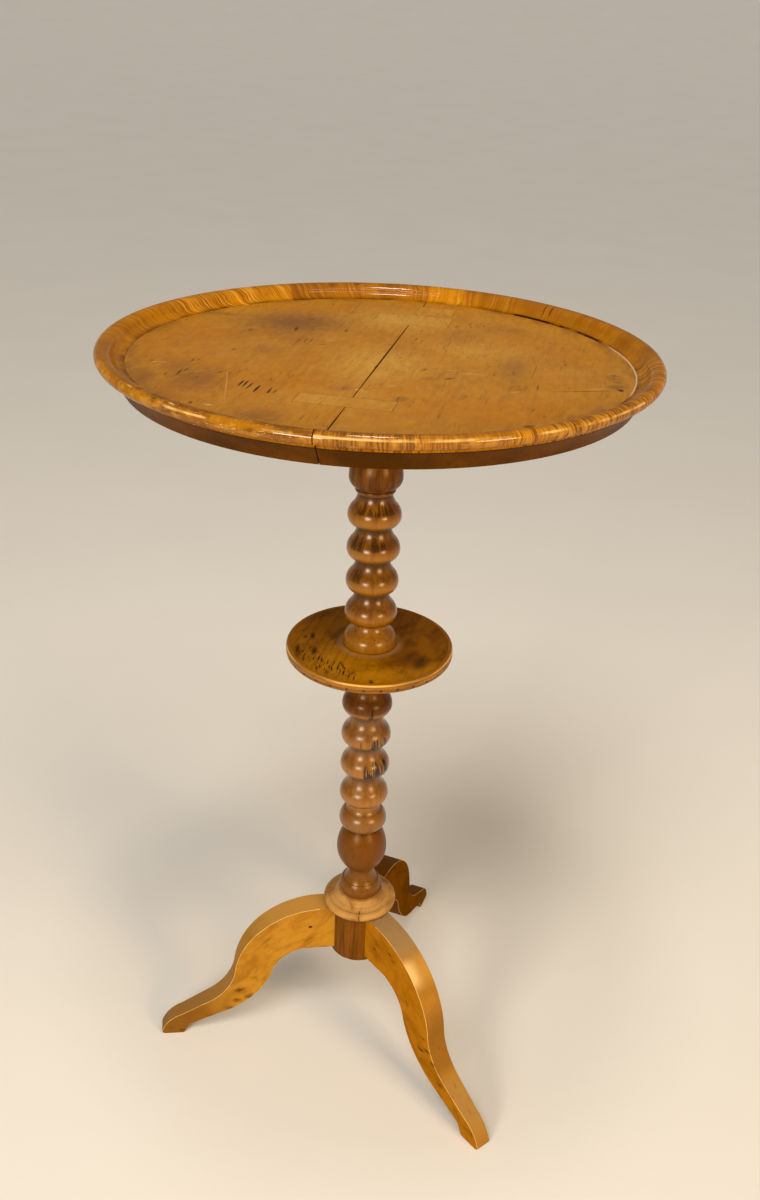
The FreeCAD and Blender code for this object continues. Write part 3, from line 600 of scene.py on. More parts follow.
def makeRimMaterial(name, darkBars, paleBars, brownness, pitch, lean, shift, worn):
    look = rimLook
    isDull = name in look["dull"]
    isFront = name in look["front"]
    coords = newMaterial("rimwood_" + name, look, "amber")
    facing = spun(coords, 90 - middleAngle(name))  # Y points out from the axis through the piece
    axes = parted(facing)
    radius = aroundAxis(facing)[1]
    arc = calc("MULTIPLY_ADD", calc("ARCTAN2", axes[0], axes[1]), look["middle"], shift)
    unrolled = joined(arc, radius, axes[2])
    clouds = noise(unrolled, 26, 4, 0.55)
    paint(between(clouds, 0.32, 0.68, max(brownness - 0.35, 0.0), brownness + 0.25), "brown")
    bars = place(stripeGroup, {"Vector": unrolled, "Pitch": pitch, "Lean": lean})["Bars"]
    patchy = between(noise(unrolled, 18, 2, 0.5), 0.36, 0.56, 0.35, 1.0)
    paint(product(between(bars, 0.50, 0.60), patchy, darkBars), "stripe")
    paint(product(between(bars, 0.46, 0.38), patchy, paleBars), "pale")
    fine = noise(unrolled, 120, 4, 0.6)
    wash(fine, 0.50, 0.70, 0.45, "brown")
    rubs = noise(stretched(unrolled, (34, 210, 210)), 1, 5, 0.7)
    paint(product(between(radius, *look["nosing"]), between(rubs, 0.48, 0.62), worn), "grimeAndShade")
    nicks = noise(stretched(unrolled, (240, 800, 800)), 1, 3, 0.6)
    paint(product(between(radius, *look["nicked"]), between(nicks, 0.64, 0.68), worn, 1.2), "chip")
    paint(product(between(radius, *look["brighter"]), between(fine, 0.48, 0.62), 0.25), "pale")
    # on the front pieces, a painted highlight: a pale line along the top of the nosing
    if isFront:
        line = near(axes[2], look["crestHighlightHeight"], 0.0002, 0.0009)
        outer = between(radius, *look["crestHighlightReach"])
        paint(product(line, outer, between(clouds, 0.44, 0.58), 0.48), "crest")
    # painted shade in the corner where the rim's cove meets the field
    paint(product(between(radius, *look["corner"]), between(clouds, 0.35, 0.6), 0.55), "grimeAndShade")
    paintMarks(onRim(look["darkMarks"].get(name, [])), "grimeAndShade")
    paintMarks(onRim(look["chips"].get(name, [])), "chip")
    if name in look["drawnAway"]:
        paintRimJoint(coords, clouds)
    varnish = varnished()
    height = total(product(bars, 0.25), varnish["Ripple"])
    polish = product(between(axes[2], *look["face"]), look["polish"][isDull])
    if isFront:
        polish = product(polish, between(radius, *look["frontPolish"]))
    specular = look["specular"][isDull]
    return finishMaterial(varnish["Roughness"], height, specular=specular, polish=polish)


def paintRimJoint(coords, clouds):
    # the rim has drawn away from the field: an open dark line behind, a bared pale edge beside it
    angle, radius, _ = aroundAxis(coords)
    foot = between(radius, 0.2074, 0.2060)
    breaks = between(noise(coords, 70, 3, 0.6), 0.38, 0.48)
    reach = near(angle, 0.50, 0.26, 0.06)
    paint(product(reach, foot, breaks, between(clouds, 0.38, 0.50), 0.95), "parting")
    paint(product(near(angle, -0.20, 0.30, 0.10), between(radius, 0.2055, 0.2050), 0.65), "bared")


fasciaLook = {
    "light": "5c3504", "dark": "422502", "line": "361c02", "shadow": "2a1606",
    "shadowRise": (0.7345, 0.7362),  # the heights between which it darkens under the nosing
    "radius": 0.212,
    "grainWidth": 1.6, "gloss": (0.40, 0.16), "specular": 0.02,
}


def makeFasciaMaterial():
    look = fasciaLook
    coords = newMaterial("fasciaBand", look, "light")
    angle, radius, rise = aroundAxis(coords)
    grain = woodGrain(joined(product(angle, look["radius"]), rise, radius))
    wash(grain["Clouds"], 0.3, 0.7, 1.0, "dark")
    wash(grain["Streaks"], 0.48, 0.72, 0.45, "line")
    wash(rise, *look["shadowRise"], 0.7, "shadow")
    varnish = varnished()
    return finishMaterial(varnish["Roughness"], varnish["Ripple"])


for rimName, rimValues in rimLook["pieces"].items():
    wear(makeRimMaterial(rimName, *rimValues), rimName)
wear(makeFasciaMaterial(), "fascia_right", "fascia_left")
print("rim and fascia ready")


# Columns

columnLook = {
    "amber": "9a680c", "orange": "965e06", "brown": "7a4206", "shoulder": "4c2706", "crease": "2a1203",
    "spike": "120701", "overheadShade": "4c2602", "bulb": "643804",
    "grainWidth": 1.5, "figureScale": 60.0, "gloss": (0.27, 0.16), "specular": 0.18,
    "dullPolish": 0.12,  # on ball, bulb and foot
    "beadRadius": 0.0235,
    "bulbAt": (0.238, 0.022, 0.004),  # height, half and fade
    "lowBeadAt": (0.276, 0.008, 0.006),
    "footBelow": (0.215, 0.209),
    "columns": {
        # the bead row's foot, pitch and top, the painted shade on its shoulders, how brown the base tone is,
        # where painted overhead shade starts and how much, how much rougher ball or bulb are, and the polish;
        # lines: height, half width, fade, strength of a dark line, painted shade at the joins of the turned
        # parts;
        # spikes: degrees round, half width in degrees, foot mm, rise mm, strength;
        # patches: degrees round, height mm, half sizes mm, strength of a dark cloudy patch
        "upper_column": {
            "foot": 0.495, "pitch": 0.03165, "top": 0.6216, "shoulder": 0.62, "base": 0.22,
            "overheadShade": 0.6205, "overheadShadeStrength": 0.9, "satin": 0.10, "polish": 0.60, "polishRough": 0.25,
            "lines": [
                (0.6216, 0.0003, 0.0005, 0.7), (0.6256, 0.0003, 0.0006, 0.7),
                (0.4724, 0.0003, 0.0006, 0.5), (0.6236, 0.0016, 0.0006, 0.45),
            ],
            "spikes": [
                (-92, 52, 606, 12, 0.6), (-140, 22, 572, 13, 0.6), (-84, 24, 573, 12, 0.6),
                (-140, 20, 541, 12, 0.5), (-92, 60, 628, 9, 0.3),
            ],
            "patches": [(-140, 580, 12, 7, 0.6), (-90, 578, 14, 7, 0.5), (-142, 550, 12, 8, 0.5)],
        },
        "lower_column": {
            "foot": 0.2943, "pitch": 0.0343, "top": 0.463, "shoulder": 0.50, "base": 0.35,
            "overheadShade": 0.402, "overheadShadeStrength": 0.75, "satin": 0.06, "polish": 0.95, "polishRough": 0.32,
            "lines": [(0.2630, 0.0006, 0.0025, 0.75), (0.2130, 0.0006, 0.0030, 0.6)],
            "spikes": [
                (-66, 37, 333, 17, 1.0), (-66, 26, 365, 13, 1.0), (-109, 4, 365, 12, 0.9),
                (-88, 9, 401, 13, 0.8),
            ],
            "patches": [(-120, 414, 26, 12, 0.6), (-75, 414, 26, 12, 0.6)],
        },
    },
}


def makeColumnMaterial(name):
    look = columnLook
    row = look["columns"][name]
    coords = newMaterial("turned_" + name, look, "amber")
    angle, _, rise = aroundAxis(coords)
    lengthwise = spun(coords, 90, "X")
    grain = woodGrain(lengthwise)
    figure = woodFigure(lengthwise)
    wash(grain["Streaks"], 0.40, 0.70, 0.55, "brown")
    wash(figure["Mottle"], 0.50, 0.72, 0.35, "brown")
    paint(row["base"], "brown")
    level = calc("WRAP", rise, row["foot"] + row["pitch"], row["foot"])
    level = calc("SUBTRACT", level, row["foot"])  # height above the neck under each bead
    inRow = near(rise, (row["foot"] + row["top"]) / 2, (row["top"] - row["foot"]) / 2, 0.001)
    # warmer lower halves of the beads: partly own colour, partly painted warm bounce light from below
    paint(product(inRow, between(level, 0.010, 0.006), 0.6), "orange")
    # painted shade on the upward-facing shoulders of the beads, streaked with the grain
    over = product(inRow, between(level, 0.010, 0.017), row["shoulder"])
    paint(product(over, between(grain["Streaks"], 0.30, 0.62, 0.45, 1.0)), "shoulder")
    # painted shade from the table top and shelf overhead: darker from this height up
    overheadShade = between(rise, row["overheadShade"], row["overheadShade"] + 0.006, 0.0, row["overheadShadeStrength"])
    paint(product(overheadShade, between(grain["Streaks"], 0.34, 0.58, 0.72, 1.05)), "overheadShade")
    satin = overheadShade
    dull = overheadShade
    if name == "lower_column":
        satin = near(rise, *look["bulbAt"])
        paint(satin, "bulb")
        foot = between(rise, *look["footBelow"], 0.0, 0.6)
        dull = strongest(satin, overheadShade, foot)
        paint(strongest(foot, product(near(rise, *look["lowBeadAt"]), 0.4)), "shoulder")
    # painted shade: darker towards each neck between the beads, and along the lines
    neck = calc("MINIMUM", level, calc("SUBTRACT", row["pitch"], level))
    creaseShades = [product(inRow, between(neck, 0.0085, 0.0004), 0.88)]
    for middle, half, fade, strength in row["lines"]:
        creaseShades.append(product(near(rise, middle, half, fade), strength))
    paint(strongest(*creaseShades), "crease")
    paint(product(figure["Hairs"], 0.5), "crease")
    radius = look["beadRadius"]
    unrolled = joined(product(angle, radius), rise, 0.0)
    patches = []
    for turn, height, along, up, strength in row["patches"]:
        spot = (math.radians(turn) * radius * 1000, height, 0.0)
        patches.append((spot, (along, up, 50.0), 0, 1.0, 0.0, strength))
    paintMarks(patches, "shoulder", unrolled)
    spikes = []
    for turn, half, foot, climb, strength in row["spikes"]:
        inputs = {
            "Vector": unrolled,
            "Middle": math.radians(turn) * radius,
            "Half": math.radians(half) * radius,
            "Foot": foot / 1000,
            "Rise": climb / 1000,
        }
        spikes.append(product(place(flameGroup, inputs)["Mask"], strength))
    paint(strongest(*spikes), "spike")
    varnish = varnished()
    roughness = calc("MULTIPLY_ADD", satin, row["satin"], varnish["Roughness"])
    polish = between(dull, 0.0, 0.9, row["polish"], look["dullPolish"])
    return finishMaterial(roughness, varnish["Ripple"], 0.0002, polish=polish, polishRough=row["polishRough"])


for columnName in columnLook["columns"]:
    wear(makeColumnMaterial(columnName), columnName)
print("columns ready")


# Shelf

shelfLook = {
    "brown": "9c6406", "dark": "7c4c04", "yellow": "c28610", "line": "4e2c06", "fleck": "1e0e03",
    "halo": "c0986a", "stain": "4a300c",
    "grainWidth": 1.3, "figureScale": 50.0, "gloss": (0.30, 0.2), "specular": 0.04,
    "height": 472.0,  # mm, of the marks
    "depth": 30.0,  # mm, that they reach
    "grainTurn": 24,
    "dashTurn": 14,
    # radii between which the halo round the column comes in and goes out
    "haloInside": (0.0235, 0.0255),
    "haloOutside": (0.0330, 0.0262),
    # across mm, away mm, half across, half along, turn, ragged, core, strength
    # patches: where the shelf is yellower, partly its own tone, partly painted light on the lit front
    "patches": [
        (-36, -34, 56, 46, 30, 0.9, 0.0, 0.95), (-4, -58, 50, 24, 0, 0.9, 0.0, 0.95),
        (36, -56, 34, 20, -20, 0.9, 0.0, 0.6), (-62, 6, 20, 30, 0, 0.9, 0.0, 0.5),
    ],
    "stains": [(40, -41, 9, 18, 20, 0.9, 0.1, 0.85), (33, -29, 6, 15, 40, 0.9, 0.0, 0.6)],
    "flecked": [(-43, -36, 17, 46, -40, 0.5, 0.4, 1.0), (-60, -14, 16, 26, 0, 0.5, 0.2, 0.8)],
    "flecks": [
        (-51, 15, 3.6, 11, 8, 0.8, 0.1, 0.85), (-67, -8, 3.6, 13, 8, 0.8, 0.1, 0.85),
        (-52, -12, 4.2, 11, 8, 0.8, 0.1, 0.8), (-58, 14, 3.0, 4.5, 0, 0.8, 0.1, 0.7),
        (-47, -28, 1.2, 6, 14, 0.6, 0.1, 0.9), (-42, -33, 1.4, 7, 14, 0.6, 0.1, 0.9),
        (-63, -26, 1.2, 5, 14, 0.6, 0.1, 0.9), (-53, -42, 1.4, 5, 14, 0.6, 0.1, 0.9),
        (-34, -43, 1.4, 8, 16, 0.6, 0.1, 1.0), (-30, -52, 1.4, 8, 16, 0.6, 0.1, 1.0),
        (-26, -58, 1.2, 7, 16, 0.6, 0.1, 0.9), (-22, -62, 1.2, 7, 18, 0.6, 0.1, 0.9),
        (-28, -72, 4.6, 4, 0, 0.8, 0.1, 0.8), (-8, -70, 3.6, 6.5, 0, 0.8, 0.1, 0.8),
        (-19, -71, 1.6, 3, 0, 0.8, 0.1, 0.7),
    ],
}


def onShelf(rows):
    return [((x, y, shelfLook["height"]), (a, b, shelfLook["depth"]), *rest) for x, y, a, b, *rest in rows]


def makeShelfMaterial():
    look = shelfLook
    coords = newMaterial("shelfTop", look, "brown")
    along = spun(coords, look["grainTurn"])
    grain = woodGrain(along)
    figure = woodFigure(along)
    wash(figure["Mottle"], 0.40, 0.62, 1.0, "dark")
    # yellower patches: partly own tone, partly painted light on the front-left
    paintMarks(onShelf(look["patches"]), "yellow")
    wash(grain["Streaks"], 0.46, 0.68, 0.34, "line")
    paintMarks(onShelf(look["stains"]), "stain")
    radius = aroundAxis(coords)[1]
    ring = product(
        between(radius, *look["haloInside"]),
        between(radius, *look["haloOutside"]),
        between(figure["Mottle"], 0.30, 0.55, 0.4, 1.0),
        0.5,
    )
    paint(ring, "halo")
    dashes = noise(stretched(spun(coords, look["dashTurn"]), (560, 130, 560)), 1, 2, 0.5)
    worn = marks(onShelf(look["flecked"]), coords)
    paint(product(between(dashes, 0.55, 0.63), worn, 0.85), "fleck")
    paintMarks(onShelf(look["flecks"]), "fleck")
    varnish = varnished()
    height = total(product(grain["Fibres"], 0.3), varnish["Ripple"])
    return finishMaterial(varnish["Roughness"], height)


edgeLook = {
    "band": "9a6a2a", "line": "6e4414", "worn": "643c10", "inside": "9c6406", "arris": "e6b862",
    "fleck": "1e0e03",
    "grainWidth": 3.0, "gloss": (0.32, 0.2), "specular": 0.3,
    "pins": 32,
    "radius": 0.0765,
    # radii between which each effect comes in
    "insideReach": (0.0758, 0.0750),
    "arrisReach": (0.0752, 0.0759),
}


def makeEdgeMaterial():
    look = edgeLook
    coords = newMaterial("shelfEdge", look, "band")
    angle, radius, rise = aroundAxis(coords)
    grain = woodGrain(joined(rise, product(angle, look["radius"]), radius))
    wash(grain["Streaks"], 0.44, 0.66, 0.8, "line")
    wash(noise(coords, 90, 3, 0.6), 0.54, 0.70, 0.6, "worn")
    foot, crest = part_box("shelf_edge_band")
    climb = between(rise, foot[2], crest[2])
    grooves = strongest(near(climb, 0.34, 0.02, 0.07), near(climb, 0.80, 0.02, 0.05))
    paint(total(between(climb, 0.60, 0.25, 0.0, 0.45), product(grooves, 0.45)), "line")
    paint(between(radius, *look["insideReach"]), "inside")
    arris = product(
        between(climb, 0.86, 0.97),
        between(radius, *look["arrisReach"]),
        between(grain["Streaks"], 0.58, 0.42, 0.2, 0.85),
    )
    paint(arris, "arris")
    low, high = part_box("shelf_edge_pins")
    step = math.pi / look["pins"]  # half the angle from pin to pin
    aside = product(calc("WRAP", angle, step, -step), look["radius"])
    above = calc("SUBTRACT", rise, (low[2] + high[2]) / 2)
    away = aroundAxis(joined(aside, above, 0.0))[1]
    wash(away, 0.0015, 0.0008, 0.9, "fleck")
    return finishMaterial(varnished()["Roughness"], grain["Streaks"])


wear(makeShelfMaterial(), "shelf_disc")
wear(makeEdgeMaterial(), "shelf_edge_band")


# Collar, hub and hidden wood

collarLook = {
    "pale": "b08448", "brown": "8c602c", "ring": "5a3512", "crack": "1e0f05",
    "grainWidth": 1.2, "figureScale": 70.0, "gloss": (0.36, 0.2), "specular": 0.3,
    "grainTurn": 40,
    "rings": ((0.0318, 0.0003), (0.0268, 0.0002)),
    "crackAt": -98.5,
    "crackFrom": (0.0285, 0.0300),
}


def makeCollarMaterial():
    look = collarLook
    coords = newMaterial("collarWood", look, "pale")
    along = spun(coords, look["grainTurn"])
    grain = woodGrain(along)
    figure = woodFigure(along)
    wash(figure["Mottle"], 0.40, 0.68, 1.0, "brown")
    wash(grain["Streaks"], 0.52, 0.74, 0.4, "brown")
    angle, radius, _ = aroundAxis(coords)
    rings = [near(radius, middle, half, 0.0005) for middle, half in look["rings"]]
    paint(product(strongest(*rings), 0.2), "ring")
    path = calc("SUBTRACT", angle, math.radians(look["crackAt"]))
    path = calc("MULTIPLY_ADD", swing(coords, 160, 2, 0.5), 0.10, path)
    crack = product(near(path, 0.0, 0.006, 0.010), between(radius, *look["crackFrom"]), 0.85)
    paint(crack, "crack")
    varnish = varnished()
    height = calc("SUBTRACT", varnish["Ripple"], product(crack, 1.5))
    return finishMaterial(varnish["Roughness"], height)


hubLook = {
    "light": "74440a", "dark": "4e2a05",
    "grainTurn": 90,
    "grainAxis": "X",
    "grainWidth": 2.2, "figureScale": 60.0, "gloss": (0.38, 0.16), "specular": 0.08,
}

bareLook = {
    "light": "9a6f3e", "dark": "72502a",
    "grainTurn": 19.8,
    "grainAxis": "Z",
    "grainWidth": 1.0, "figureScale": 60.0, "gloss": (0.7, 0.16), "specular": 0.2,
}


def makePlainWood(name, look):
    coords = newMaterial(name, look, "light")
    along = spun(coords, look["grainTurn"], look["grainAxis"])
    grain = woodGrain(along)
    wash(grain["Streaks"], 0.40, 0.68, 0.8, "dark")
    wash(woodFigure(along)["Mottle"], 0.50, 0.72, 0.5, "dark")
    varnish = varnished()
    height = total(product(grain["Fibres"], 0.4), varnish["Ripple"])
    return finishMaterial(varnish["Roughness"], height)


ironLook = {"metal": "2b2622", "rust": "4a2f1c", "specular": 0.5}


def makeIron():
    coords = newMaterial("oldIron", ironLook, "metal")
    rust = between(noise(coords, 900, 3, 0.6), 0.45, 0.65)
    paint(rust, "rust")
    return finishMaterial(between(rust, 0.0, 1.0, 0.4, 0.7), rust, 0.0001)


bareNames = ("mounting_block", "core_board_left", "core_board_right", "spigot_wedge")
wear(makeCollarMaterial(), "collar_ring")
wear(makePlainWood("hubWood", hubLook), "hub")
wear(makePlainWood("bareWood", bareLook), *bareNames)
wear(makeIron(), "shelf_edge_pins", "block_screws")
print("shelf, collar, hub and hidden wood ready")


# Legs: copies of the sawn legs with their arrises rounded over

legLook = {
    "roundOver": 0.0018,
    "rounds": 3,
    "rootClear": 0.034,  # arrises nearer the axis than this stay sharp against the hub
    "sharpAngle": 30.0,
    "flatAngle": 0.2,  # flatter facets are joined before the rounding
    "legs": {"leg_left": 180.0, "leg_front": -60.0, "leg_back": 60.0},
    # own tones: side, mottle, top, top by the hub; the back leg's are darkened as painted shade
    "tones": {
        "leg_left": ("ae7c26", "885616", "a07430", "b0803a"),
        "leg_front": ("a86c10", "804c08", "a0722c", "a27c4a"),
        "leg_back": ("6e4204", "522e02", "6e4204", "6e4204"),
    },
    "toe": "70481a",
    # from where out to where the toe darkens, at first and at last
    "toeShade": {
        "leg_left": (0.110, 0.190, 0.0, 0.85),
        "leg_front": (0.160, 0.215, 0.0, 0.15),
        "leg_back": (0.140, 0.215, 0.0, 0.55),
    },
    # along the top edge: middle, half length and fade in metres, tone, strength
    "topTones": {
        "leg_front": [
            # the front leg's row at 0.098 out is a painted highlight on the knee
            (0.052, 0.018, 0.022, "94764e", 0.80), (0.098, 0.003, 0.014, "be8c3e", 0.70),
            (0.138, 0.006, 0.014, "744c16", 0.60), (0.180, 0.012, 0.022, "a07c44", 0.60),
        ],
        "leg_left": [(0.060, 0.030, 0.030, "be8c42", 0.60), (0.170, 0.030, 0.020, "96703e", 0.55)],
    },
    "worn": "efca88", "fleck": "3c2006",
    "grainSlope": -40.0,
    "grainWidth": 1.2, "figureScale": 46.0, "gloss": (0.30, 0.2), "specular": 0.0,
    "polish": 0.10,
    "polishRough": 0.35,
    "crown": (0.105, 0.060),  # out along the leg, where its top gets the tone by the hub
    "knee": (0.098, 0.003, 0.012),  # painted knee highlight out along the leg: middle, half length, fade
    "kneeInside": (0.004, -0.011),
    "kneeSheen": 0.66,
    # out along the leg mm, across mm, up mm, half size out, across, up, ragged, core, strength
    "marks": {
        "leg_left": [
            (52, 12, 141, 3.0, 5, 2.4, 0.6, 0.3, 1.0), (38, 12, 110, 9, 5, 5, 0.9, 0.0, 0.7),
            (126, 12, 58, 9, 5, 6, 1.3, 0.0, 0.75), (115, 12, 49, 9, 5, 6, 1.3, 0.0, 0.75),
            (138, 12, 33, 10, 5, 6, 1.3, 0.0, 0.7), (130, 12, 44, 8, 5, 5, 1.3, 0.0, 0.7),
            (96, 12, 62, 4, 5, 3, 0.9, 0.0, 0.5), (108, 12, 74, 3, 5, 4, 0.9, 0.0, 0.4),
            (201, 12, 8, 8, 6, 5, 1.2, 0.0, 0.85), (188, 12, 4, 9, 6, 4, 1.2, 0.0, 0.8),
            (160, 12, 24, 8, 5, 3, 1.2, 0.0, 0.5),
        ],
        "leg_front": [
            (43, -12, 134, 6, 5, 4, 1.2, 0.0, 0.7), (67, -12, 146, 5, 5, 2.6, 1.2, 0.0, 0.7),
            (73, -12, 141, 5, 5, 2.6, 1.2, 0.0, 0.65), (122, -12, 62, 8, 5, 3.4, 1.1, 0.0, 0.95),
            (131, -12, 67, 7, 5, 3.2, 1.1, 0.0, 0.9), (140, -12, 57, 7, 5, 3.2, 1.1, 0.0, 0.85),
            (124, -12, 79, 6, 5, 2.4, 1.1, 0.0, 0.7), (152, -12, 38, 8, 5, 3.6, 1.1, 0.0, 0.8),
            (150, -12, 44, 34, 6, 16, 1.0, 0.0, 0.22), (46, -12, 130, 22, 6, 12, 1.0, 0.0, 0.35),
            (176, -12, 26, 6, 5, 3, 0.9, 0.0, 0.75), (199, -12, 14, 8, 6, 4, 1.2, 0.0, 0.8),
            (212, -12, 8, 6, 6, 4, 1.2, 0.0, 0.85), (98, -12, 104, 4, 5, 6, 1.2, 0.0, 0.4),
        ],
    },
}


def setMode(mode):
    bpy.ops.object.mode_set(mode=mode)


def copyOfNode(name, newName):
    bpy.ops.object.select_all(action="DESELECT")
    piece = bpy.data.objects.new(newName, nodes[name].data.copy())
    bpy.context.scene.collection.objects.link(piece)
    bpy.context.view_layer.objects.active = piece
    piece.select_set(True)
    setMode("EDIT")
    bpy.ops.mesh.select_all(action="SELECT")
    bpy.ops.mesh.remove_doubles(threshold=0.00001)
    bpy.ops.mesh.dissolve_limited(angle_limit=math.radians(legLook["flatAngle"]))
    bpy.ops.mesh.select_all(action="DESELECT")
    setMode("OBJECT")
    return piece


def selectArrises(piece):
    setMode("EDIT")
    bpy.ops.mesh.select_mode(type="EDGE")
    bpy.ops.mesh.edges_select_sharp(sharpness=math.radians(legLook["sharpAngle"]))
    setMode("OBJECT")
    corners = piece.data.vertices
    for edge in piece.data.edges:
        reach = min(corners[i].co.xy.length for i in edge.vertices)
        if reach < legLook["rootClear"]:
            edge.select = False


def makeLeg(name):
    look = legLook
    piece = copyOfNode(name, name + "_rounded")
    selectArrises(piece)
    setMode("EDIT")
    bpy.ops.mesh.bevel(offset=look["roundOver"], segments=look["rounds"], affect="EDGES", clamp_overlap=True)
    bpy.ops.mesh.select_all(action="DESELECT")
    setMode("OBJECT")
    bpy.ops.object.shade_smooth_by_angle(angle=math.radians(look["sharpAngle"]))
    weighted = piece.modifiers.new("evenShading", "WEIGHTED_NORMAL")
    weighted.keep_sharp = True
    bpy.ops.object.modifier_apply(modifier=weighted.name)
    piece.data.materials.clear()
    piece.data.materials.append(makeLegMaterial(name, look["legs"][name]))
    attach(piece, "root")
    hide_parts(name)


def makeLegMaterial(name, angle):
    look = legLook
    side, sideDark, topTone, crownTone = look["tones"][name]
    coords = newMaterial("sawn_" + name, look, side)
    own = spun(coords, -angle)  # X out along the leg, Y across it
    along = spun(own, look["grainSlope"], "Y")
    along = shifted(spun(along, 90), (angle * 0.01, angle * 0.02, 0.0))
    grain = woodGrain(along)
    figure = woodFigure(along)
    wash(figure["Mottle"], 0.40, 0.70, 0.7, sideDark)
    wash(figure["Dabs"], 0.50, 0.70, 0.4, sideDark)
    facing = addNode("NewGeometry").outputs["Normal"]
    flank = calc("ABSOLUTE", parted(spun(facing, -angle))[1])  # 1 on the sawn sides, 0 on the edges
    top = between(flank, 0.55, 0.2)
    paint(product(top, 0.6), topTone)
    ways = parted(own)
    out = ways[0]
    paint(product(top, between(out, *look["crown"]), 0.75), crownTone)
    paint(between(out, *look["toeShade"][name]), "toe")
    for middle, half, fade, tone, strength in look["topTones"].get(name, []):
        paint(product(top, near(out, middle, half, fade), strength), tone)
    # a painted highlight on the front leg's knee, by its inner arris, laid on in the worn tone
    if name == "leg_front":
        inner = between(ways[1], *look["kneeInside"])
        paint(product(top, inner, near(out, *look["knee"]), look["kneeSheen"]), "worn")
    paint(product(figure["Hairs"], 0.35), "fleck")
    arris = product(between(flank, 0.25, 0.7), between(flank, 0.99, 0.8))
    paint(product(arris, between(noise(own, 70, 3, 0.6), 0.30, 0.55, 0.55, 1.0)), "worn")
    rows = [(row[:3], row[3:6], 0, *row[6:]) for row in look["marks"].get(name, [])]
    paintMarks(rows, "fleck", own)
    varnish = varnished()
    height = total(product(grain["Fibres"], 0.4), varnish["Ripple"])
    polish = product(top, look["polish"])
    return finishMaterial(varnish["Roughness"], height, polish=polish, polishRough=look["polishRough"])


for legName in legLook["legs"]:
    makeLeg(legName)
print("legs ready")


# Stage, light and camera

photoView = {
    "turn": 8.6,  # degrees that the viewer stands left of the front
    "distance": 0.9188,
    "height": 0.9934,
    "pitch": 27.46,
    "yaw": -0.49,
    "roll": 2.49,
    "focalPixels": 1148.35,
    "pictureHeight": 1200,
    "sensor": 36.0,
}

floorLook = {
    "pale": "dedcd8", "shade": "d6d3ce",
    "rough": 0.8,
    "specular": 0.1,
    "sides": 96,
    "rings": ((7.0, 0.0), (18.0, 0.5), (32.0, 3.0)),  # reach and rise: the floor turns up far off
}

studio = {
    "skyTone": "e6e2da",
    "skyStrength": 0.22,
    "aim": (0.0, 0.0, 0.5),
    "sunDistance": 4.0,
    # name: degrees round from the viewer, degrees up, spread in degrees, strength, tone
    "suns": {
        "softKey": (-22, 58, 24, 1.10, "fff8ee"),
        "warmFill": (44, 54, 26, 0.60, "fff0da"),
    },
    # name: degrees round from the viewer, degrees up, distance, width, height, watts, tone
    "panels": {
        "windowLeft": (-28, 15, 3.0, 0.95, 0.62, 58, "fff1dc"),
        "windowRight": (44, 15, 3.0, 0.85, 0.62, 42, "ffd9a0"),
        "ceilingLamp": (-10, 82, 1.8, 0.25, 0.25, 7.5, "fff4e4"),
        "ceilingStrip": (6, 60, 2.2, 1.8, 0.10, 6.0, "fff4e4"),
    },
}


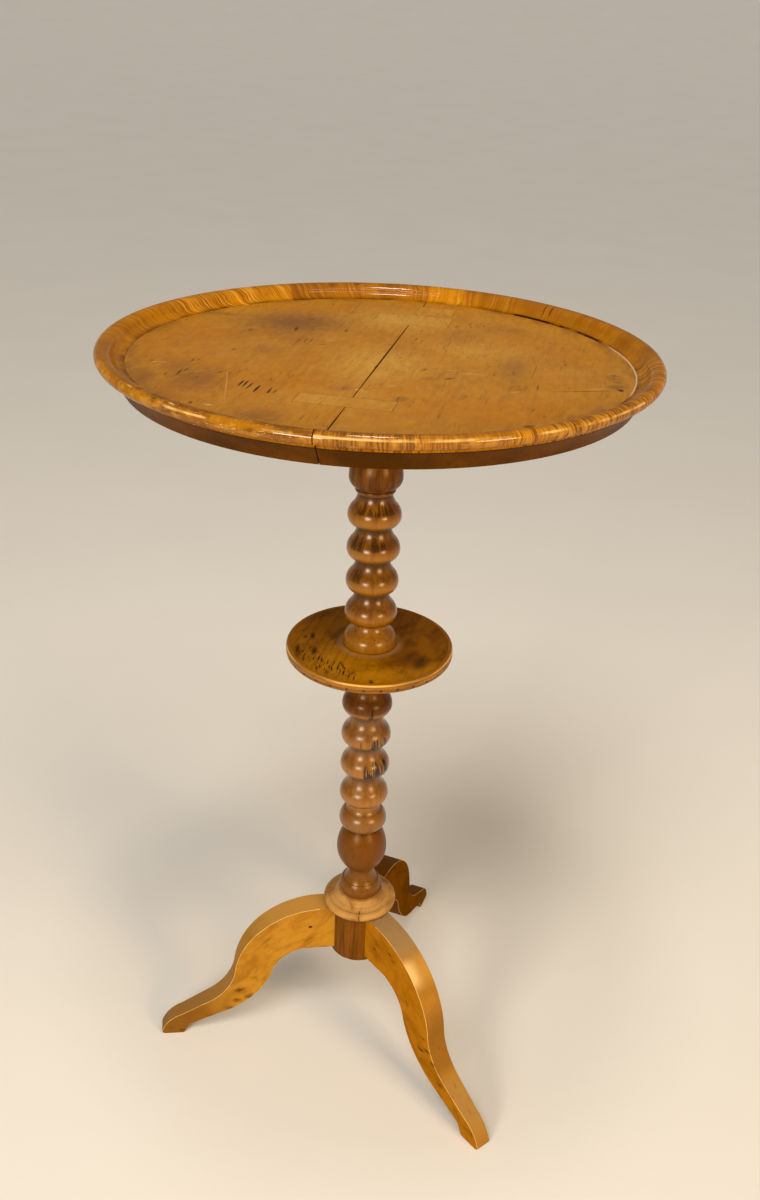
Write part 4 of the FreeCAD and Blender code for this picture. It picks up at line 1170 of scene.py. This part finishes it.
def makeStage():
    bpy.ops.object.select_all(action="DESELECT")
    reach = floorLook["rings"][0][0]
    bpy.ops.mesh.primitive_circle_add(vertices=floorLook["sides"], radius=reach, fill_type="NGON")
    floor = bpy.context.object
    floor.name = "studioFloor"
    setMode("EDIT")
    bpy.ops.mesh.select_mode(type="EDGE")
    bpy.ops.mesh.select_all(action="SELECT")
    bpy.ops.mesh.region_to_loop()
    for wider, rise in floorLook["rings"][1:]:
        bpy.ops.mesh.extrude_edges_move()
        grow = wider / reach
        bpy.ops.transform.resize(value=(grow, grow, 1.0), center_override=(0.0, 0.0, 0.0))
        bpy.ops.transform.translate(value=(0.0, 0.0, rise))
        reach = wider
    bpy.ops.mesh.select_all(action="SELECT")
    bpy.ops.mesh.normals_make_consistent(inside=False)
    setMode("OBJECT")
    bpy.ops.object.shade_smooth()
    coords = newMaterial("paleFloor", floorLook, "pale")
    wash(noise(coords, 3, 3, 0.5), 0.3, 0.7, 0.25, "shade")
    floor.data.materials.append(finishMaterial(floorLook["rough"], noise(coords, 40, 2, 0.5), 0.0002))
    world = bpy.data.worlds.new("softRoom")
    world.use_nodes = True
    sky = world.node_tree.nodes["Background"]
    sky.inputs["Color"].default_value = tint(studio["skyTone"])
    sky.inputs["Strength"].default_value = studio["skyStrength"]
    bpy.context.scene.world = world


def addLamp(kind, name, aside, up, distance, power, tone):
    bearing = math.radians(270 - photoView["turn"] + aside)
    rise = math.radians(up)
    way = Vector((math.cos(bearing) * math.cos(rise), math.sin(bearing) * math.cos(rise), math.sin(rise)))
    bpy.ops.object.light_add(type=kind, location=Vector(studio["aim"]) + way * distance)
    lamp = bpy.context.object
    lamp.name = name
    lamp.rotation_euler = way.to_track_quat("Z", "Y").to_euler()
    lamp.data.energy = power
    lamp.data.color = tint(tone)[:3]
    return lamp


def makeLamps():
    for name, (aside, up, spread, strength, tone) in studio["suns"].items():
        lamp = addLamp("SUN", name, aside, up, studio["sunDistance"], strength, tone)
        lamp.data.angle = math.radians(spread)
        lamp.visible_glossy = False  # the highlights come from the panels alone
    for name, (aside, up, distance, width, height, watts, tone) in studio["panels"].items():
        lamp = addLamp("AREA", name, aside, up, distance, watts, tone)
        lamp.data.shape = "RECTANGLE"
        lamp.data.size = width
        lamp.data.size_y = height


def makeCamera():
    view = photoView
    bpy.ops.object.camera_add()
    camera = bpy.context.object
    camera.name = "photoCamera"
    camera.data.sensor_fit = "VERTICAL"
    camera.data.sensor_height = view["sensor"]
    camera.data.lens = view["focalPixels"] / view["pictureHeight"] * view["sensor"]
    camera.data.clip_start = 0.01
    turn = Matrix.Rotation(math.radians(-view["turn"]), 4, "Z")
    stand = Matrix.Translation((0.0, -view["distance"], view["height"]))
    yaw = Matrix.Rotation(math.radians(view["yaw"]), 4, "Z")
    tilt = Matrix.Rotation(math.radians(90 - view["pitch"]), 4, "X")
    roll = Matrix.Rotation(math.radians(view["roll"]), 4, "Z")
    camera.matrix_world = turn @ stand @ yaw @ tilt @ roll
    bpy.context.scene.camera = camera


makeStage()
makeLamps()
makeCamera()
bpy.context.scene.view_settings.view_transform = "Standard"
print("stage, light and camera ready")
